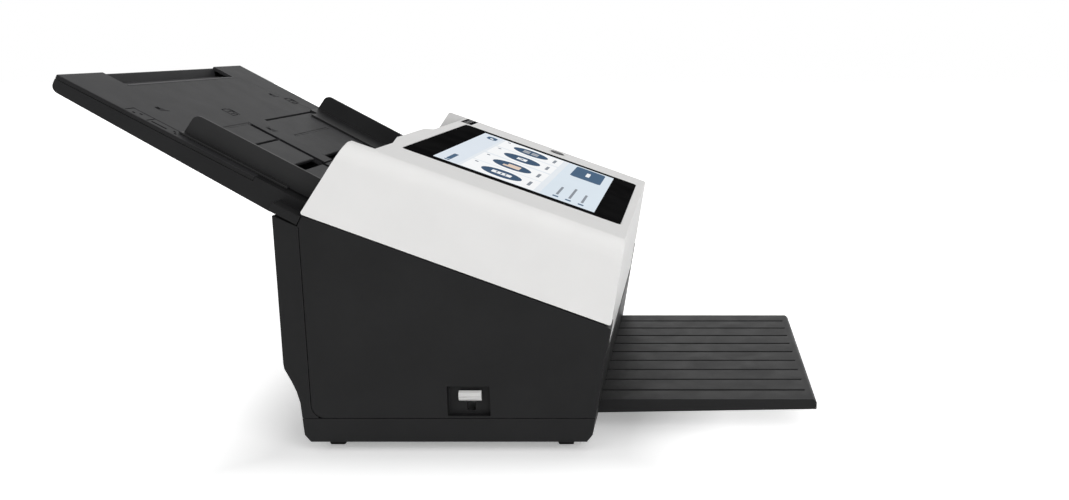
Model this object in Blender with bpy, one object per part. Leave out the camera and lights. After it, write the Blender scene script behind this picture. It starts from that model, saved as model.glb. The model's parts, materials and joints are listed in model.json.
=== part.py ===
"""Desktop document scanner with a hinged touch-screen cover.

World frame: metres, +Z up, +Y to the rear, +X to the right of a person who stands
at the paper exit. The origin lies on the floor, below the middle of the object.
"""
import math

import bmesh
import bpy
from mathutils import Matrix, Vector

for leftover in list(bpy.data.objects):
    bpy.data.objects.remove(leftover, do_unlink=True)

# Clearances
GAP = 0.0003
RUNNING_GAP = 0.0005
CUT_OVERRUN = 0.004

# Body, measured on the outside
BODY_WIDTH = 0.2800
FOOT_HEIGHT = 0.0065
BAND_TOP_Z = 0.0214
REAR_WALL_Y = 0.0997
REAR_WALL_TOP_Z = 0.1470
REAR_COVE_TOP_Z = 0.0560
REAR_COVE_FOOT_Z = 0.0316
REAR_COVE_DEPTH = 0.0085
REAR_COVE_SHARES = ((0.12, 0.04), (0.46, 0.51), (0.70, 0.79))
REAR_TOE_DEPTH = 0.0099
TOE_Z = 0.0110
TOE_CHAMFER = 0.0035
FRONT_TOE_Y = -0.0866
FRONT_LEAN = 0.178
REAR_SPLIT_Y = 0.0846
PANEL_CORNER_RADIUS = 0.0080
PANEL_WALL = 0.0025
SIDE_WALL = 0.0030
COLUMN_WIDTH = 0.0240
PAN_FLOOR = 0.0025

# Seam between the body and the cover, and the cover's outside
SEAM_REAR_Y = 0.0834
SEAM_REAR_Z = 0.1480
SEAM_SLOPE = 0.374
SEAM_GAP = 0.0006
TOP_FRONT_Y = -0.1081
TOP_FRONT_Z = 0.1320
TOP_SLOPE = 0.3592
COVER_REAR_SLOPE = 1.446
COVER_WALL = 0.0024
COVER_CORNER_RADIUS = 0.0025
SHOULDER_INSET = 0.0075
SHOULDER_DROP = 0.0126
SHOULDER_STEPS = 5
ARM_WIDTH = 0.0115
ARM_WALL = 0.0026
MIDDLE_REAR_Y = 0.0402
BUMP_DEPTH = 0.0040
BUMP_LEFT_X = -0.0906
BUMP_LEFT_TOP_X = -0.0660
BUMP_RIGHT_TOP_X = 0.0050
BUMP_RIGHT_X = 0.0170
MOUTH_TOP_Z = 0.1495
MOUTH_SIDE_ROOM = 0.0025
APRON_BOTTOM_Z = 0.0626

# Cover hinge
HINGE_Y = -0.0895
HINGE_Z = 0.0685
HINGE_PIN_RADIUS = 0.0020
HINGE_EAR_RADIUS = 0.0042
HINGE_EAR_SIDE_ROOM = 0.0025
HINGE_EAR_WIDTH = 0.0090

# Touch glass, display and the pieces on the rim, in the plane of the cover's top
GLASS_SIDE_MARGIN = 0.0441
GLASS_LENGTH = 0.1437
GLASS_FRONT_MARGIN = 0.0064
GLASS_THICKNESS = 0.0018
GLASS_CORNER_RADIUS = 0.0030
DISPLAY_SIDE_MARGIN = 0.0098
DISPLAY_LENGTH = 0.1076
DISPLAY_FRONT_MARGIN = 0.0183
DISPLAY_THICKNESS = 0.0042
BEZEL_BORDER = 0.0050
BEZEL_DEPTH = 0.0062
BOARD_THICKNESS = 0.0016
BUTTON_RADIUS = 0.0055
BUTTON_FROM_GLASS = 0.0191
BUTTON_ALONG = 0.0761
BUTTON_HEIGHT = 0.0060
BUTTON_PROUD = 0.0006
BUTTON_COLLAR_WALL = 0.0016
BUTTON_COLLAR_DEPTH = 0.0050
WINDOW_WIDTH = 0.0280
WINDOW_LENGTH = 0.0086
WINDOW_ALONG = 0.1518
WINDOW_THICKNESS = 0.0012

# Paper path: a straight line that rises to the rear, between the two frames
PATH_FRONT_Y = -0.0958
PATH_FRONT_Z = 0.0610
PATH_SLOPE = 0.4966
PATH_LOWER_DROP = 0.0010
PATH_UPPER_RISE = 0.0020
GUIDE_PLATE = 0.0022
GUIDE_FRONT_Y = -0.0795
GUIDE_LIP_DROP = 0.0080
CHUTE_FRONT_Y = 0.0500
LINER_REAR_Y = 0.0220
LINER_LIP_Y = 0.0365
LINER_SIDE_ROOM = 0.0040
FRAME_PLATE = 0.0020
FRAME_SIDE_ROOM = 0.0170
FRAME_TRAY_CLEARANCE = 0.0024

# Rollers
ROUND_SIDES = 24
SHAFT_RADIUS = 0.0030
FEED_NIP_Y = 0.0200
TRANSPORT_NIP_Y = -0.0080
EXIT_NIP_Y = -0.0620
SCAN_Y = -0.0320
FEED_TYRE_RADIUS = 0.0140
FEED_HUB_RADIUS = 0.0090
FEED_TYRE_X = 0.0180
DRIVEN_TYRE_RADIUS = 0.0090
DRIVEN_HUB_RADIUS = 0.0055
DRIVEN_TYRE_X = 0.0500
TYRE_WIDTH = 0.0200
HUB_FLANGE = 0.0015
HUB_FLANGE_RISE = 0.0015
SEPARATION_RADIUS = 0.0100
SEPARATION_WIDTH = 0.0520
IDLER_RADIUS = 0.0060
IDLER_SHAFT_RADIUS = 0.0020
BLOCK_WIDTH = 0.0050
BLOCK_WALL = 0.0026
TYRE_WINDOW_MARGIN = 0.0015

# Scan units
SCAN_UNIT_SIDE_ROOM = 0.0050
SCAN_UNIT_WIDTH = 0.0220
SCAN_UNIT_DEPTH = 0.0140
SCAN_GLASS_WIDTH = 0.0180
SCAN_GLASS_END_MARGIN = 0.0030
SCAN_SLOT_WIDTH = 0.0080
SCAN_SLOT_DEPTH = 0.0060

# Drive
GEAR_MODULE = 0.0010
GEAR_TEETH = 36
PINION_TEETH = 12
GEAR_FACE_WIDTH = 0.0050
GEAR_SIDE_ROOM = 0.0010
PULLEY_RADIUS = 0.0080
PULLEY_WIDTH = 0.0040
PULLEY_FLANGE_WIDTH = 0.0010
PULLEY_FLANGE_RISE = 0.0010
BELT_THICKNESS = 0.0010
MOTOR_RADIUS = 0.0170
MOTOR_LENGTH = 0.0360
MOTOR_BOSS_RADIUS = 0.0055
MOTOR_BOSS_LENGTH = 0.0015
MOTOR_SHAFT_RADIUS = 0.0010
MOTOR_TILT_DEG = 35.0

# Exit wall, output tray and feet
EXIT_WALL_TOP_Z = 0.0576
EXIT_SHELF_REAR_Y = -0.0810
OUTPUT_SIDE_ROOM = 0.0090
OUTPUT_TOP_Z = 0.0224
OUTPUT_UNDERSIDE_Z = 0.0133
OUTPUT_END_UNDERSIDE_Z = 0.0156
OUTPUT_END_Y = -0.2277
OUTPUT_REAR_Y = -0.0640
OUTPUT_GROOVE_PITCH = 0.0220
OUTPUT_GROOVE_WIDTH = 0.0022
OUTPUT_GROOVE_DEPTH = 0.0014
OUTPUT_GROOVES = 9
OUTPUT_END_RADIUS = 0.0020
OUTPUT_GROOVE_END_MARGIN = 0.0060
OUTPUT_RAIL_WIDTH = 0.0030
OUTPUT_RAIL_OVERLAP = 0.0020
FOOT_LENGTH = 0.0134
FOOT_TIP_LENGTH = 0.0090
FOOT_WIDTH = 0.0140
FOOT_FRONT_Y = -0.0688
FOOT_REAR_Y = 0.0742
FOOT_SIDE_MARGIN = 0.0120

# Release knob, its recess and the cover latch, on the left side
RECESS_FRONT_Y = -0.0244
RECESS_REAR_Y = 0.0016
RECESS_TOP_Z = 0.0420
RECESS_DEPTH = 0.0050
RECESS_WALL = 0.0014
KNOB_Y = -0.0120
KNOB_LENGTH = 0.0138
KNOB_BOTTOM_Z = 0.0320
KNOB_HEIGHT = 0.0065
KNOB_TRAVEL = 0.0080
KNOB_PROUD = 0.0044
KNOB_BACK = 0.0016
KNOB_RIDGE_SHARES = (
    (0.0, 0.25),
    (0.18, 0.70),
    (0.42, 0.80),
    (0.50, 1.0),
    (0.58, 0.80),
    (0.82, 0.70),
    (1.0, 0.25),
)
KNOB_STEM_WIDTH = 0.0040
KNOB_STEM_HEIGHT = 0.0034
KNOB_ROD_SIDE_ROOM = 0.0105
KNOB_ROD_THICKNESS = 0.0032
LATCH_PIVOT_Y = -0.0280
LATCH_PIVOT_Z = 0.0810
LATCH_ARM = 0.0200
LATCH_SWING_DEG = 11.5
LATCH_PLATE = 0.0020
LATCH_HUB_RADIUS = 0.0042
LATCH_PIN_RADIUS = 0.0018
LATCH_STUD_RADIUS = 0.0020
LATCH_ARM_WIDTH = 0.0050
LATCH_NOSE_Z = 0.1032
LATCH_NOSE_HEIGHT = 0.0040
LATCH_NOSE_Y = -0.0292
KEEPER_LENGTH = 0.0080
KEEPER_HEIGHT = 0.0030
FORK_LENGTH = 0.0170
FORK_WALL = 0.0022

# Rear panel, its board and its sockets
BOARD_Y = 0.0860
BOARD_WIDTH = 0.1600
BOARD_CENTRE_X = -0.0200
BOARD_BOTTOM_Z = 0.0380
BOARD_TOP_Z = 0.1100
SOCKET_CENTRE_Z = 0.0720
SOCKET_WALL = 0.0012
SOCKET_DEPTH = 0.0095
NETWORK_FROM_BOARD_END = 0.0200
NETWORK_WIDTH = 0.0160
NETWORK_HEIGHT = 0.0135
USB_FROM_BOARD_END = 0.0500
USB_WIDTH = 0.0130
USB_HEIGHT = 0.0120
POWER_JACK_FROM_BOARD_END = 0.0150
POWER_JACK_WIDTH = 0.0140
POWER_JACK_HEIGHT = 0.0130
VENT_COUNT = 9
VENT_PITCH = 0.0080
VENT_WIDTH = 0.0026
VENT_HEIGHT = 0.0220
VENT_CENTRE_Z = 0.1230
STANDOFF_RADIUS = 0.0030

# Input tray, in a frame whose middle axis climbs the tray's top surface
TRAY_ORIGIN_Y = 0.1132
TRAY_ORIGIN_Z = 0.1685
TRAY_SLOPE = 0.5425
TRAY_LENGTH = 0.1263
TRAY_SIDE_ROOM = 0.0010
TRAY_PLATE = 0.0025
TRAY_END_THICKNESS = 0.0100
TRAY_ROOT_THICKNESS = 0.0150
TRAY_ROOT_ALONG = -0.0165
TRAY_STEP_HEIGHT = 0.0108
TRAY_END_RADIUS = 0.0040
TRAY_SHELL_WALL = 0.0020
CHEEK_WIDTH = 0.0097
CHEEK_FRONT_ALONG = -0.0385
SHELL_FRONT_ALONG = -0.0080
EAR_FRONT_ALONG = -0.0370
EAR_REAR_ALONG = -0.0190
EAR_TOP_DEPTH = 0.0055
EAR_SIDE_CLEARANCE = 0.0004
EAR_SLOT_CLEARANCE = 0.0006
CHUTE_DROP = 0.0008
CHUTE_REAR_ALONG = -0.0115
CHUTE_SIDE_ROOM = 0.0006
CHUTE_TAB_REAR_Y = 0.0740
TRAY_SLOT_WIDTH = 0.0018
TRAY_SLOT_LEFT_INNER_X = 0.0245
TRAY_SLOT_RIGHT_INNER_X = 0.0060
TRAY_SLOT_END_ROOM = 0.0060
RACK_CENTRE_ALONG = 0.0390
TRAY_SPINE_GROOVE_X = -0.0230
TRAY_SPINE_GROOVE_WIDTH = 0.0022
TRAY_SPINE_GROOVE_DEPTH = 0.0012
TRAY_SPINE_GROOVE_ALONG = 0.0488
GRIP_HALF_WIDTH = 0.0785
GRIP_START_ALONG = 0.1098
GRIP_BAR_LENGTH = 0.0046
GRIP_BAR_RIDGE = 0.0010
GRIP_BAR_DROP = 0.0012
GRIP_DEPTH = 0.0063
TRAY_PIN_SLOT_LENGTH = 0.0050
TRAY_PIN_SLOT_WIDTH = 0.0046
TRAY_PIN_SLOT_SHARES = ((-0.725, 0.631), (0.675, 0.631), (-0.085, 0.310))

# Tray extension, side guides and the racks below the tray's top plate
EXTENSION_HALF_WIDTH = 0.0720
EXTENSION_START_ALONG = 0.0180
EXTENSION_THICKNESS = 0.0016
EXTENSION_TOP_DEPTH = 0.0060
EXTENSION_RAIL_WIDTH = 0.0030
SIDE_GUIDE_SIDE_ROOM = 0.0011
SIDE_GUIDE_WALL = 0.0022
SIDE_GUIDE_HEIGHT = 0.0145
SIDE_GUIDE_FRONT_ALONG = -0.0390
SIDE_GUIDE_REAR_ALONG = 0.0516
SIDE_GUIDE_REAR_LEAN = 0.0012
SIDE_GUIDE_RADIUS = 0.0048
SIDE_GUIDE_FOOT_WIDTH = 0.0190
SIDE_GUIDE_FOOT_THICKNESS = 0.0012
SIDE_GUIDE_PALM_WIDTH = 0.0320
SIDE_GUIDE_PALM_REAR_ALONG = 0.0455
SIDE_GUIDE_TAB_INSET = 0.0152
SIDE_GUIDE_TAB_LENGTH = 0.0050
SIDE_GUIDE_TAB_WIDTH = 0.0010
RACK_MODULE = 0.0015
RACK_PINION_TEETH = 12
RACK_BODY_WIDTH = 0.0030
RACK_TOP_DEPTH = 0.0029
RACK_THICKNESS = 0.0024
RACK_PIVOT_RADIUS = 0.0025
RACK_PIVOT_BORE = 0.0029

# Tooth outline of a gear: half widths as shares of a tooth's pitch
ROOT_HALF_SHARE = 0.33
PITCH_HALF_SHARE = 0.22
TIP_HALF_SHARE = 0.11
ADDENDUM_SHARE = 0.85
DEDENDUM_SHARE = 1.20

# Plain words for values worked out from the sizes above
HALF_WIDTH = BODY_WIDTH / 2
TOP_ANGLE = math.atan(TOP_SLOPE)
TRAY_ANGLE = math.atan(TRAY_SLOPE)
PATH_ANGLE = math.atan(PATH_SLOPE)
COLUMN_INNER_X = HALF_WIDTH - COLUMN_WIDTH
ARM_INNER_X = HALF_WIDTH - ARM_WIDTH
FRAME_INNER_X = HALF_WIDTH - FRAME_SIDE_ROOM - FRAME_PLATE
LINER_HALF_WIDTH = FRAME_INNER_X - LINER_SIDE_ROOM
HINGE_EAR_INNER_X = LINER_HALF_WIDTH - HINGE_EAR_SIDE_ROOM - HINGE_EAR_WIDTH
MOUTH_HALF_WIDTH = LINER_HALF_WIDTH + MOUTH_SIDE_ROOM
SCAN_UNIT_HALF_LENGTH = LINER_HALF_WIDTH - SCAN_UNIT_SIDE_ROOM
SCAN_GLASS_HALF_LENGTH = SCAN_UNIT_HALF_LENGTH - SCAN_GLASS_END_MARGIN
GEAR_X = FRAME_INNER_X + FRAME_PLATE + GEAR_SIDE_ROOM
OUTPUT_HALF_WIDTH = COLUMN_INNER_X - OUTPUT_SIDE_ROOM
FOOT_OUTER_X = HALF_WIDTH - FOOT_SIDE_MARGIN
KNOB_ROD_X = HALF_WIDTH - KNOB_ROD_SIDE_ROOM
GLASS_WIDTH = BODY_WIDTH - 2 * GLASS_SIDE_MARGIN
DISPLAY_WIDTH = GLASS_WIDTH - 2 * DISPLAY_SIDE_MARGIN
BUTTON_X = GLASS_WIDTH / 2 + BUTTON_FROM_GLASS
BOARD_LEFT_X = BOARD_CENTRE_X - BOARD_WIDTH / 2
BOARD_RIGHT_X = BOARD_CENTRE_X + BOARD_WIDTH / 2
NETWORK_X = BOARD_LEFT_X + NETWORK_FROM_BOARD_END
USB_X = BOARD_LEFT_X + USB_FROM_BOARD_END
POWER_JACK_X = BOARD_RIGHT_X - POWER_JACK_FROM_BOARD_END
TRAY_HALF_WIDTH = ARM_INNER_X - TRAY_SIDE_ROOM
CHEEK_INNER_X = TRAY_HALF_WIDTH - CHEEK_WIDTH
CHUTE_HALF_WIDTH = CHEEK_INNER_X - CHUTE_SIDE_ROOM
SIDE_GUIDE_X = CHEEK_INNER_X - SIDE_GUIDE_SIDE_ROOM
SIDE_GUIDE_TAB_X = SIDE_GUIDE_X - SIDE_GUIDE_TAB_INSET
TRAY_SLOT_OUTER_X = SIDE_GUIDE_TAB_X + TRAY_SLOT_END_ROOM
RACK_PITCH = math.pi * RACK_MODULE
RACK_TEETH = int(SIDE_GUIDE_TAB_X / RACK_PITCH) - 1

MATERIALS = {
    "white_plastic": ((0.80, 0.80, 0.785), 0.42, 0.0),
    "black_plastic": ((0.030, 0.030, 0.031), 0.48, 0.0),
    "dark_plastic": ((0.022, 0.022, 0.023), 0.55, 0.0),
    "tray_plastic": ((0.072, 0.072, 0.075), 0.60, 0.0),
    "guide_plastic": ((0.018, 0.018, 0.019), 0.50, 0.0),
    "grey_plastic": ((0.62, 0.62, 0.61), 0.45, 0.0),
    "frame_steel": ((0.55, 0.56, 0.57), 0.38, 1.0),
    "shaft_steel": ((0.66, 0.66, 0.67), 0.25, 1.0),
    "tyre_rubber": ((0.030, 0.032, 0.036), 0.85, 0.0),
    "foot_rubber": ((0.020, 0.020, 0.020), 0.90, 0.0),
    "gear_plastic": ((0.75, 0.73, 0.66), 0.50, 0.0),
    "display_glass": ((0.004, 0.004, 0.005), 0.06, 0.0),
    "scan_glass": ((0.35, 0.40, 0.40), 0.05, 0.0),
    "board_green": ((0.020, 0.120, 0.050), 0.55, 0.0),
    "socket_metal": ((0.60, 0.60, 0.60), 0.30, 1.0),
}


# Lines of the outside form
def front_y(z):
    return FRONT_TOE_Y - (z - TOE_Z) * FRONT_LEAN


def seam_z(y):
    return SEAM_REAR_Z - (SEAM_REAR_Y - y) * SEAM_SLOPE


def top_z(y):
    return TOP_FRONT_Z + (y - TOP_FRONT_Y) * TOP_SLOPE


def path_z(y):
    return PATH_FRONT_Z + (y - PATH_FRONT_Y) * PATH_SLOPE


def rear_outline(low_z, high_z):
    """Points up the rear of the body: toe, cove and wall, between two heights."""
    drop = REAR_COVE_TOP_Z - REAR_COVE_FOOT_Z
    points = [
        (REAR_WALL_Y - REAR_TOE_DEPTH - TOE_CHAMFER, FOOT_HEIGHT),
        (REAR_WALL_Y - REAR_TOE_DEPTH, TOE_Z),
        (REAR_WALL_Y - REAR_COVE_DEPTH, REAR_COVE_FOOT_Z),
    ]
    for height_share, depth_share in reversed(REAR_COVE_SHARES):
        points.append((REAR_WALL_Y - REAR_COVE_DEPTH * depth_share, REAR_COVE_TOP_Z - drop * height_share))
    points.append((REAR_WALL_Y, REAR_COVE_TOP_Z))
    points.append((REAR_WALL_Y, REAR_WALL_TOP_Z))
    clipped = []
    for (y0, z0), (y1, z1) in zip(points, points[1:]):
        if z1 <= low_z or z0 >= high_z:
            continue
        low_part = max(0.0, (low_z - z0) / (z1 - z0))
        high_part = min(1.0, (high_z - z0) / (z1 - z0))
        start = (y0 + (y1 - y0) * low_part, z0 + (z1 - z0) * low_part)
        end = (y0 + (y1 - y0) * high_part, z0 + (z1 - z0) * high_part)
        if not clipped:
            clipped.append(start)
        clipped.append(end)
    return clipped


def tray_point(along, height):
    """World (y, z) of a point of the tray's frame."""
    y = TRAY_ORIGIN_Y + along * math.cos(TRAY_ANGLE) - height * math.sin(TRAY_ANGLE)
    z = TRAY_ORIGIN_Z + along * math.sin(TRAY_ANGLE) + height * math.cos(TRAY_ANGLE)
    return y, z


def tray_line_z(y, height):
    """World z at y of a line that runs parallel to the tray's top surface."""
    return TRAY_ORIGIN_Z + (y - TRAY_ORIGIN_Y) * TRAY_SLOPE + height / math.cos(TRAY_ANGLE)


def path_point(y, along, rise):
    """World (y, z) of a point beside the paper path at y."""
    point_y = y + along * math.cos(PATH_ANGLE) - rise * math.sin(PATH_ANGLE)
    point_z = path_z(y) + along * math.sin(PATH_ANGLE) + rise * math.cos(PATH_ANGLE)
    return point_y, point_z


def path_line(y, rise):
    """World (y, z) on a line parallel to the path, straight above or below it."""
    return y, path_z(y) + rise / math.cos(PATH_ANGLE)


# Outlines
def arc(centre, radius, start_deg, end_deg, steps):
    points = []
    for index in range(steps + 1):
        angle = math.radians(start_deg + (end_deg - start_deg) * index / steps)
        points.append((centre[0] + radius * math.cos(angle), centre[1] + radius * math.sin(angle)))
    return points


def circle(centre, radius, sides=ROUND_SIDES):
    return arc(centre, radius, 0, 360, sides)[:-1]


def rounded(points, radius, steps=4):
    """Outline with each corner replaced by an arc of the radius."""
    result = []
    count = len(points)
    for index, corner in enumerate(points):
        here = Vector(corner)
        before = (Vector(points[index - 1]) - here).normalized()
        after = (Vector(points[(index + 1) % count]) - here).normalized()
        half_angle = before.angle(after) / 2
        reach = radius / math.tan(half_angle)
        centre = here + (before + after).normalized() * (radius / math.sin(half_angle))
        start = here + before * reach - centre
        turn = start.angle_signed(here + after * reach - centre)
        for step in range(steps + 1):
            share = step / steps
            angle = -turn * share
            rotated = Vector((
                start.x * math.cos(angle) - start.y * math.sin(angle),
                start.x * math.sin(angle) + start.y * math.cos(angle),
            ))
            result.append(tuple(centre + rotated))
    return result


def rectangle(low, high):
    return [(low[0], low[1]), (high[0], low[1]), (high[0], high[1]), (low[0], high[1])]


def around_path(y, half_width, low_rise, high_rise):
    """Rectangle that lies square to the paper path."""
    corners = (
        (-half_width, low_rise),
        (half_width, low_rise),
        (half_width, high_rise),
        (-half_width, high_rise),
    )
    return [path_point(y, along, rise) for along, rise in corners]


def hull(points):
    """Convex outline around points, anticlockwise."""
    ordered = sorted(set(points))
    lower, upper = [], []
    for chain, sequence in ((lower, ordered), (upper, reversed(ordered))):
        for point in sequence:
            while len(chain) > 1:
                (ax, ay), (bx, by) = chain[-2], chain[-1]
                if (bx - ax) * (point[1] - ay) - (by - ay) * (point[0] - ax) > 0:
                    break
                chain.pop()
            chain.append(point)
    return lower[:-1] + upper[:-1]


# Solids
def solid(name, vertices, faces):
    mesh = bpy.data.meshes.new(name)
    work = bmesh.new()
    corners = [work.verts.new(vertex) for vertex in vertices]
    for face in faces:
        work.faces.new([corners[index] for index in face])
    bmesh.ops.recalc_face_normals(work, faces=work.faces)
    work.to_mesh(mesh)
    work.free()
    piece = bpy.data.objects.new(name, mesh)
    bpy.context.scene.collection.objects.link(piece)
    return piece


def loft(name, sections):
    """Solid through sections that hold the same number of points."""
    count = len(sections[0])
    vertices = [point for section in sections for point in section]
    faces = [list(range(count)), list(range((len(sections) - 1) * count, len(sections) * count))]
    for layer in range(len(sections) - 1):
        for index in range(count):
            following = (index + 1) % count
            low, high = layer * count, (layer + 1) * count
            faces.append([low + index, low + following, high + following, high + index])
    return solid(name, vertices, faces)


def across(name, outline, low_x, high_x):
    """Outline in (y, z) pushed along x."""
    return loft(name, [[(x, y, z) for y, z in outline] for x in (low_x, high_x)])


def upright(name, outline, low_z, high_z):
    """Outline in (x, y) pushed along z."""
    return loft(name, [[(x, y, z) for x, y in outline] for z in (low_z, high_z)])


def lengthwise(name, outline, low_y, high_y):
    """Outline in (x, z) pushed along y."""
    return loft(name, [[(x, y, z) for x, z in outline] for y in (low_y, high_y)])


def box(name, low, high):
    return upright(name, rectangle(low[:2], high[:2]), low[2], high[2])


def turned(name, stations, centre, sides=ROUND_SIDES):
    """Solid of revolution about a line along x through centre (y, z); stations are (x, radius)."""
    sections = [[(x, y, z) for y, z in circle(centre, radius, sides)] for x, radius in stations]
    return loft(name, sections)


def rod(name, low_x, high_x, radius, centre, sides=ROUND_SIDES):
    return turned(name, ((low_x, radius), (high_x, radius)), centre, sides)


def combine(target, tool, operation):
    modifier = target.modifiers.new(operation, "BOOLEAN")
    modifier.solver = "EXACT"
    modifier.operation = operation
    modifier.object = tool
    shape = bpy.data.meshes.new_from_object(target.evaluated_get(bpy.context.evaluated_depsgraph_get()))
    target.modifiers.clear()
    before = target.data
    target.data = shape
    bpy.data.meshes.remove(before)
    bpy.data.objects.remove(tool, do_unlink=True)
    return target


def cut(target, *tools):
    for tool in tools:
        combine(target, tool, "DIFFERENCE")
    return target


def join(target, *tools):
    for tool in tools:
        combine(target, tool, "UNION")
    return target


def mirrored(piece, name):
    """Copy of a piece on the other side of the middle plane."""
    mesh = piece.data.copy()
    mesh.transform(Matrix.Diagonal((-1, 1, 1, 1)))
    mesh.flip_normals()
    copy = bpy.data.objects.new(name, mesh)
    bpy.context.scene.collection.objects.link(copy)
    return copy


def make_materials():
    made = {}
    for name, (colour, roughness, metallic) in MATERIALS.items():
        material = bpy.data.materials.new(name)
        material.use_nodes = True
        shader = material.node_tree.nodes["Principled BSDF"]
        shader.inputs["Base Color"].default_value = (*colour, 1.0)
        shader.inputs["Roughness"].default_value = roughness
        shader.inputs["Metallic"].default_value = metallic
        material.diffuse_color = (*colour, 1.0)
        made[name] = material
    return made


PAINTS = make_materials()


def finish(piece, material, smooth=False):
    piece.data.materials.clear()
    piece.data.materials.append(PAINTS[material])
    if smooth:
        piece.data.shade_smooth()
        piece.data.set_sharp_from_angle(angle=math.radians(35))
    return piece


def pivot_frame(name, location, angle=0.0, parent=None):
    """Empty on a joint's axis, or at the corner of a tilted frame."""
    empty = bpy.data.objects.new(name, None)
    bpy.context.scene.collection.objects.link(empty)
    empty.location = location
    empty.rotation_euler = (angle, 0, 0)
    empty.parent = parent
    return empty


def hang(piece, frame, frame_location):
    """Give a piece that was made in world coordinates to an upright frame."""
    piece.data.transform(Matrix.Translation(-Vector(frame_location)))
    piece.parent = frame
    return piece


def set_origin(piece, location):
    piece.data.transform(Matrix.Translation(-Vector(location)))
    piece.location = location
    return piece


# Base: pan, side covers, rear cover, front wall, feet
def body_outline(low_z, high_z):
    """Side outline of the body between two heights."""
    front = [(front_y(high_z), high_z), (front_y(low_z), low_z)]
    if low_z <= FOOT_HEIGHT:
        toe = (front_y(TOE_Z), TOE_Z)
        front = [front[0], toe, (toe[0] + TOE_CHAMFER, low_z)]
    return front + rear_outline(low_z, high_z)


def inner_outline(low_z, high_z, wall):
    """Body outline drawn in by a wall, straight and upright at the rear."""
    rear_y = min(y for y, z in rear_outline(FOOT_HEIGHT, BAND_TOP_Z)) - wall
    lean_wall = wall / math.cos(math.atan(FRONT_LEAN))
    return [
        (front_y(high_z) + lean_wall, high_z),
        (front_y(low_z) + lean_wall, low_z),
        (rear_y, low_z),
        (rear_y, high_z),
    ]


def make_base_pan():
    pan = across("base_pan", body_outline(FOOT_HEIGHT, BAND_TOP_Z), -HALF_WIDTH, HALF_WIDTH)
    floor_z = FOOT_HEIGHT + PAN_FLOOR
    inner_x = HALF_WIDTH - SIDE_WALL
    hollow = inner_outline(floor_z, BAND_TOP_Z + CUT_OVERRUN, PANEL_WALL)
    cut(pan, across("pan_hollow", hollow, -inner_x, inner_x))
    mouth_x = OUTPUT_HALF_WIDTH + RUNNING_GAP
    mouth_low = (-mouth_x, front_y(FOOT_HEIGHT) - CUT_OVERRUN, OUTPUT_UNDERSIDE_Z - RUNNING_GAP)
    mouth_high = (mouth_x, FRONT_TOE_Y + TOE_CHAMFER + CUT_OVERRUN, BAND_TOP_Z + CUT_OVERRUN)
    cut(pan, box("tray_mouth", mouth_low, mouth_high))
    rail_x = OUTPUT_HALF_WIDTH - OUTPUT_RAIL_OVERLAP
    rear_y = min(y for y, z in rear_outline(FOOT_HEIGHT, BAND_TOP_Z)) - PANEL_WALL
    rail_front_y = front_y(floor_z) + PANEL_WALL
    for side in (-1, 1):
        low_x, high_x = sorted((side * rail_x, side * (rail_x + OUTPUT_RAIL_WIDTH)))
        low = (low_x, rail_front_y, floor_z - PAN_FLOOR / 2)
        high = (high_x, rear_y + PANEL_WALL / 2, OUTPUT_UNDERSIDE_Z - GAP)
        join(pan, box("tray_rail", low, high))
    return finish(pan, "black_plastic")


def column_tip():
    """Front top corner of a column, drawn in so that the turning cover passes it."""
    seam_angle = math.atan(SEAM_SLOPE)
    seam_distance = (seam_z(HINGE_Y) - HINGE_Z) * math.cos(seam_angle)
    reach = seam_distance - SEAM_GAP - GAP
    lean = math.atan(FRONT_LEAN)
    front_distance = (HINGE_Y - front_y(HINGE_Z)) * math.cos(lean)
    rise = math.sqrt(reach ** 2 - front_distance ** 2)
    y = HINGE_Y - front_distance * math.cos(lean) - rise * math.sin(lean)
    z = HINGE_Z - front_distance * math.sin(lean) + rise * math.cos(lean)
    seam_foot = (HINGE_Y - reach * math.sin(seam_angle), HINGE_Z + reach * math.cos(seam_angle))
    return [(y, z), seam_foot]


def ear_slot_z(y):
    return tray_line_z(y, -TRAY_STEP_HEIGHT - EAR_SLOT_CLEARANCE)


def ear_slot_front():
    """Front edge of the slot for a tray ear, square to the tray, from the seam down."""
    along = EAR_FRONT_ALONG - EAR_SLOT_CLEARANCE
    level_y, level_z = tray_point(along, 0)
    climb = math.cos(TRAY_ANGLE) + math.sin(TRAY_ANGLE) * SEAM_SLOPE
    seam_height = (seam_z(level_y) - SEAM_GAP - level_z) / climb
    return [tray_point(along, seam_height), tray_point(along, -TRAY_STEP_HEIGHT - EAR_SLOT_CLEARANCE)]


def side_outline():
    low_z = BAND_TOP_Z + GAP
    corner = (REAR_SPLIT_Y - PANEL_CORNER_RADIUS, low_z + PANEL_CORNER_RADIUS)
    outline = column_tip()
    outline += ear_slot_front()
    outline.append((REAR_SPLIT_Y, ear_slot_z(REAR_SPLIT_Y)))
    outline += arc(corner, PANEL_CORNER_RADIUS, 0, -90, 5)
    outline.append((front_y(low_z), low_z))
    return outline


def make_side_cover(name):
    """Left cover, at -x: a side wall with a column that turns round the front."""
    outline = side_outline()
    cover = across(name, outline, -HALF_WIDTH, -COLUMN_INNER_X)
    inner_x = -HALF_WIDTH + SIDE_WALL
    lean_wall = PANEL_WALL / math.cos(math.atan(FRONT_LEAN))
    low_z = BAND_TOP_Z - CUT_OVERRUN
    high_z = max(z for y, z in outline) + CUT_OVERRUN
    rear_y = REAR_SPLIT_Y + CUT_OVERRUN
    room = [
        (front_y(low_z) + lean_wall, low_z),
        (rear_y, low_z),
        (rear_y, high_z),
        (front_y(high_z) + lean_wall, high_z),
    ]
    cut(cover, across("side_room", room, inner_x, -COLUMN_INNER_X + CUT_OVERRUN))
    return cover


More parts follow.
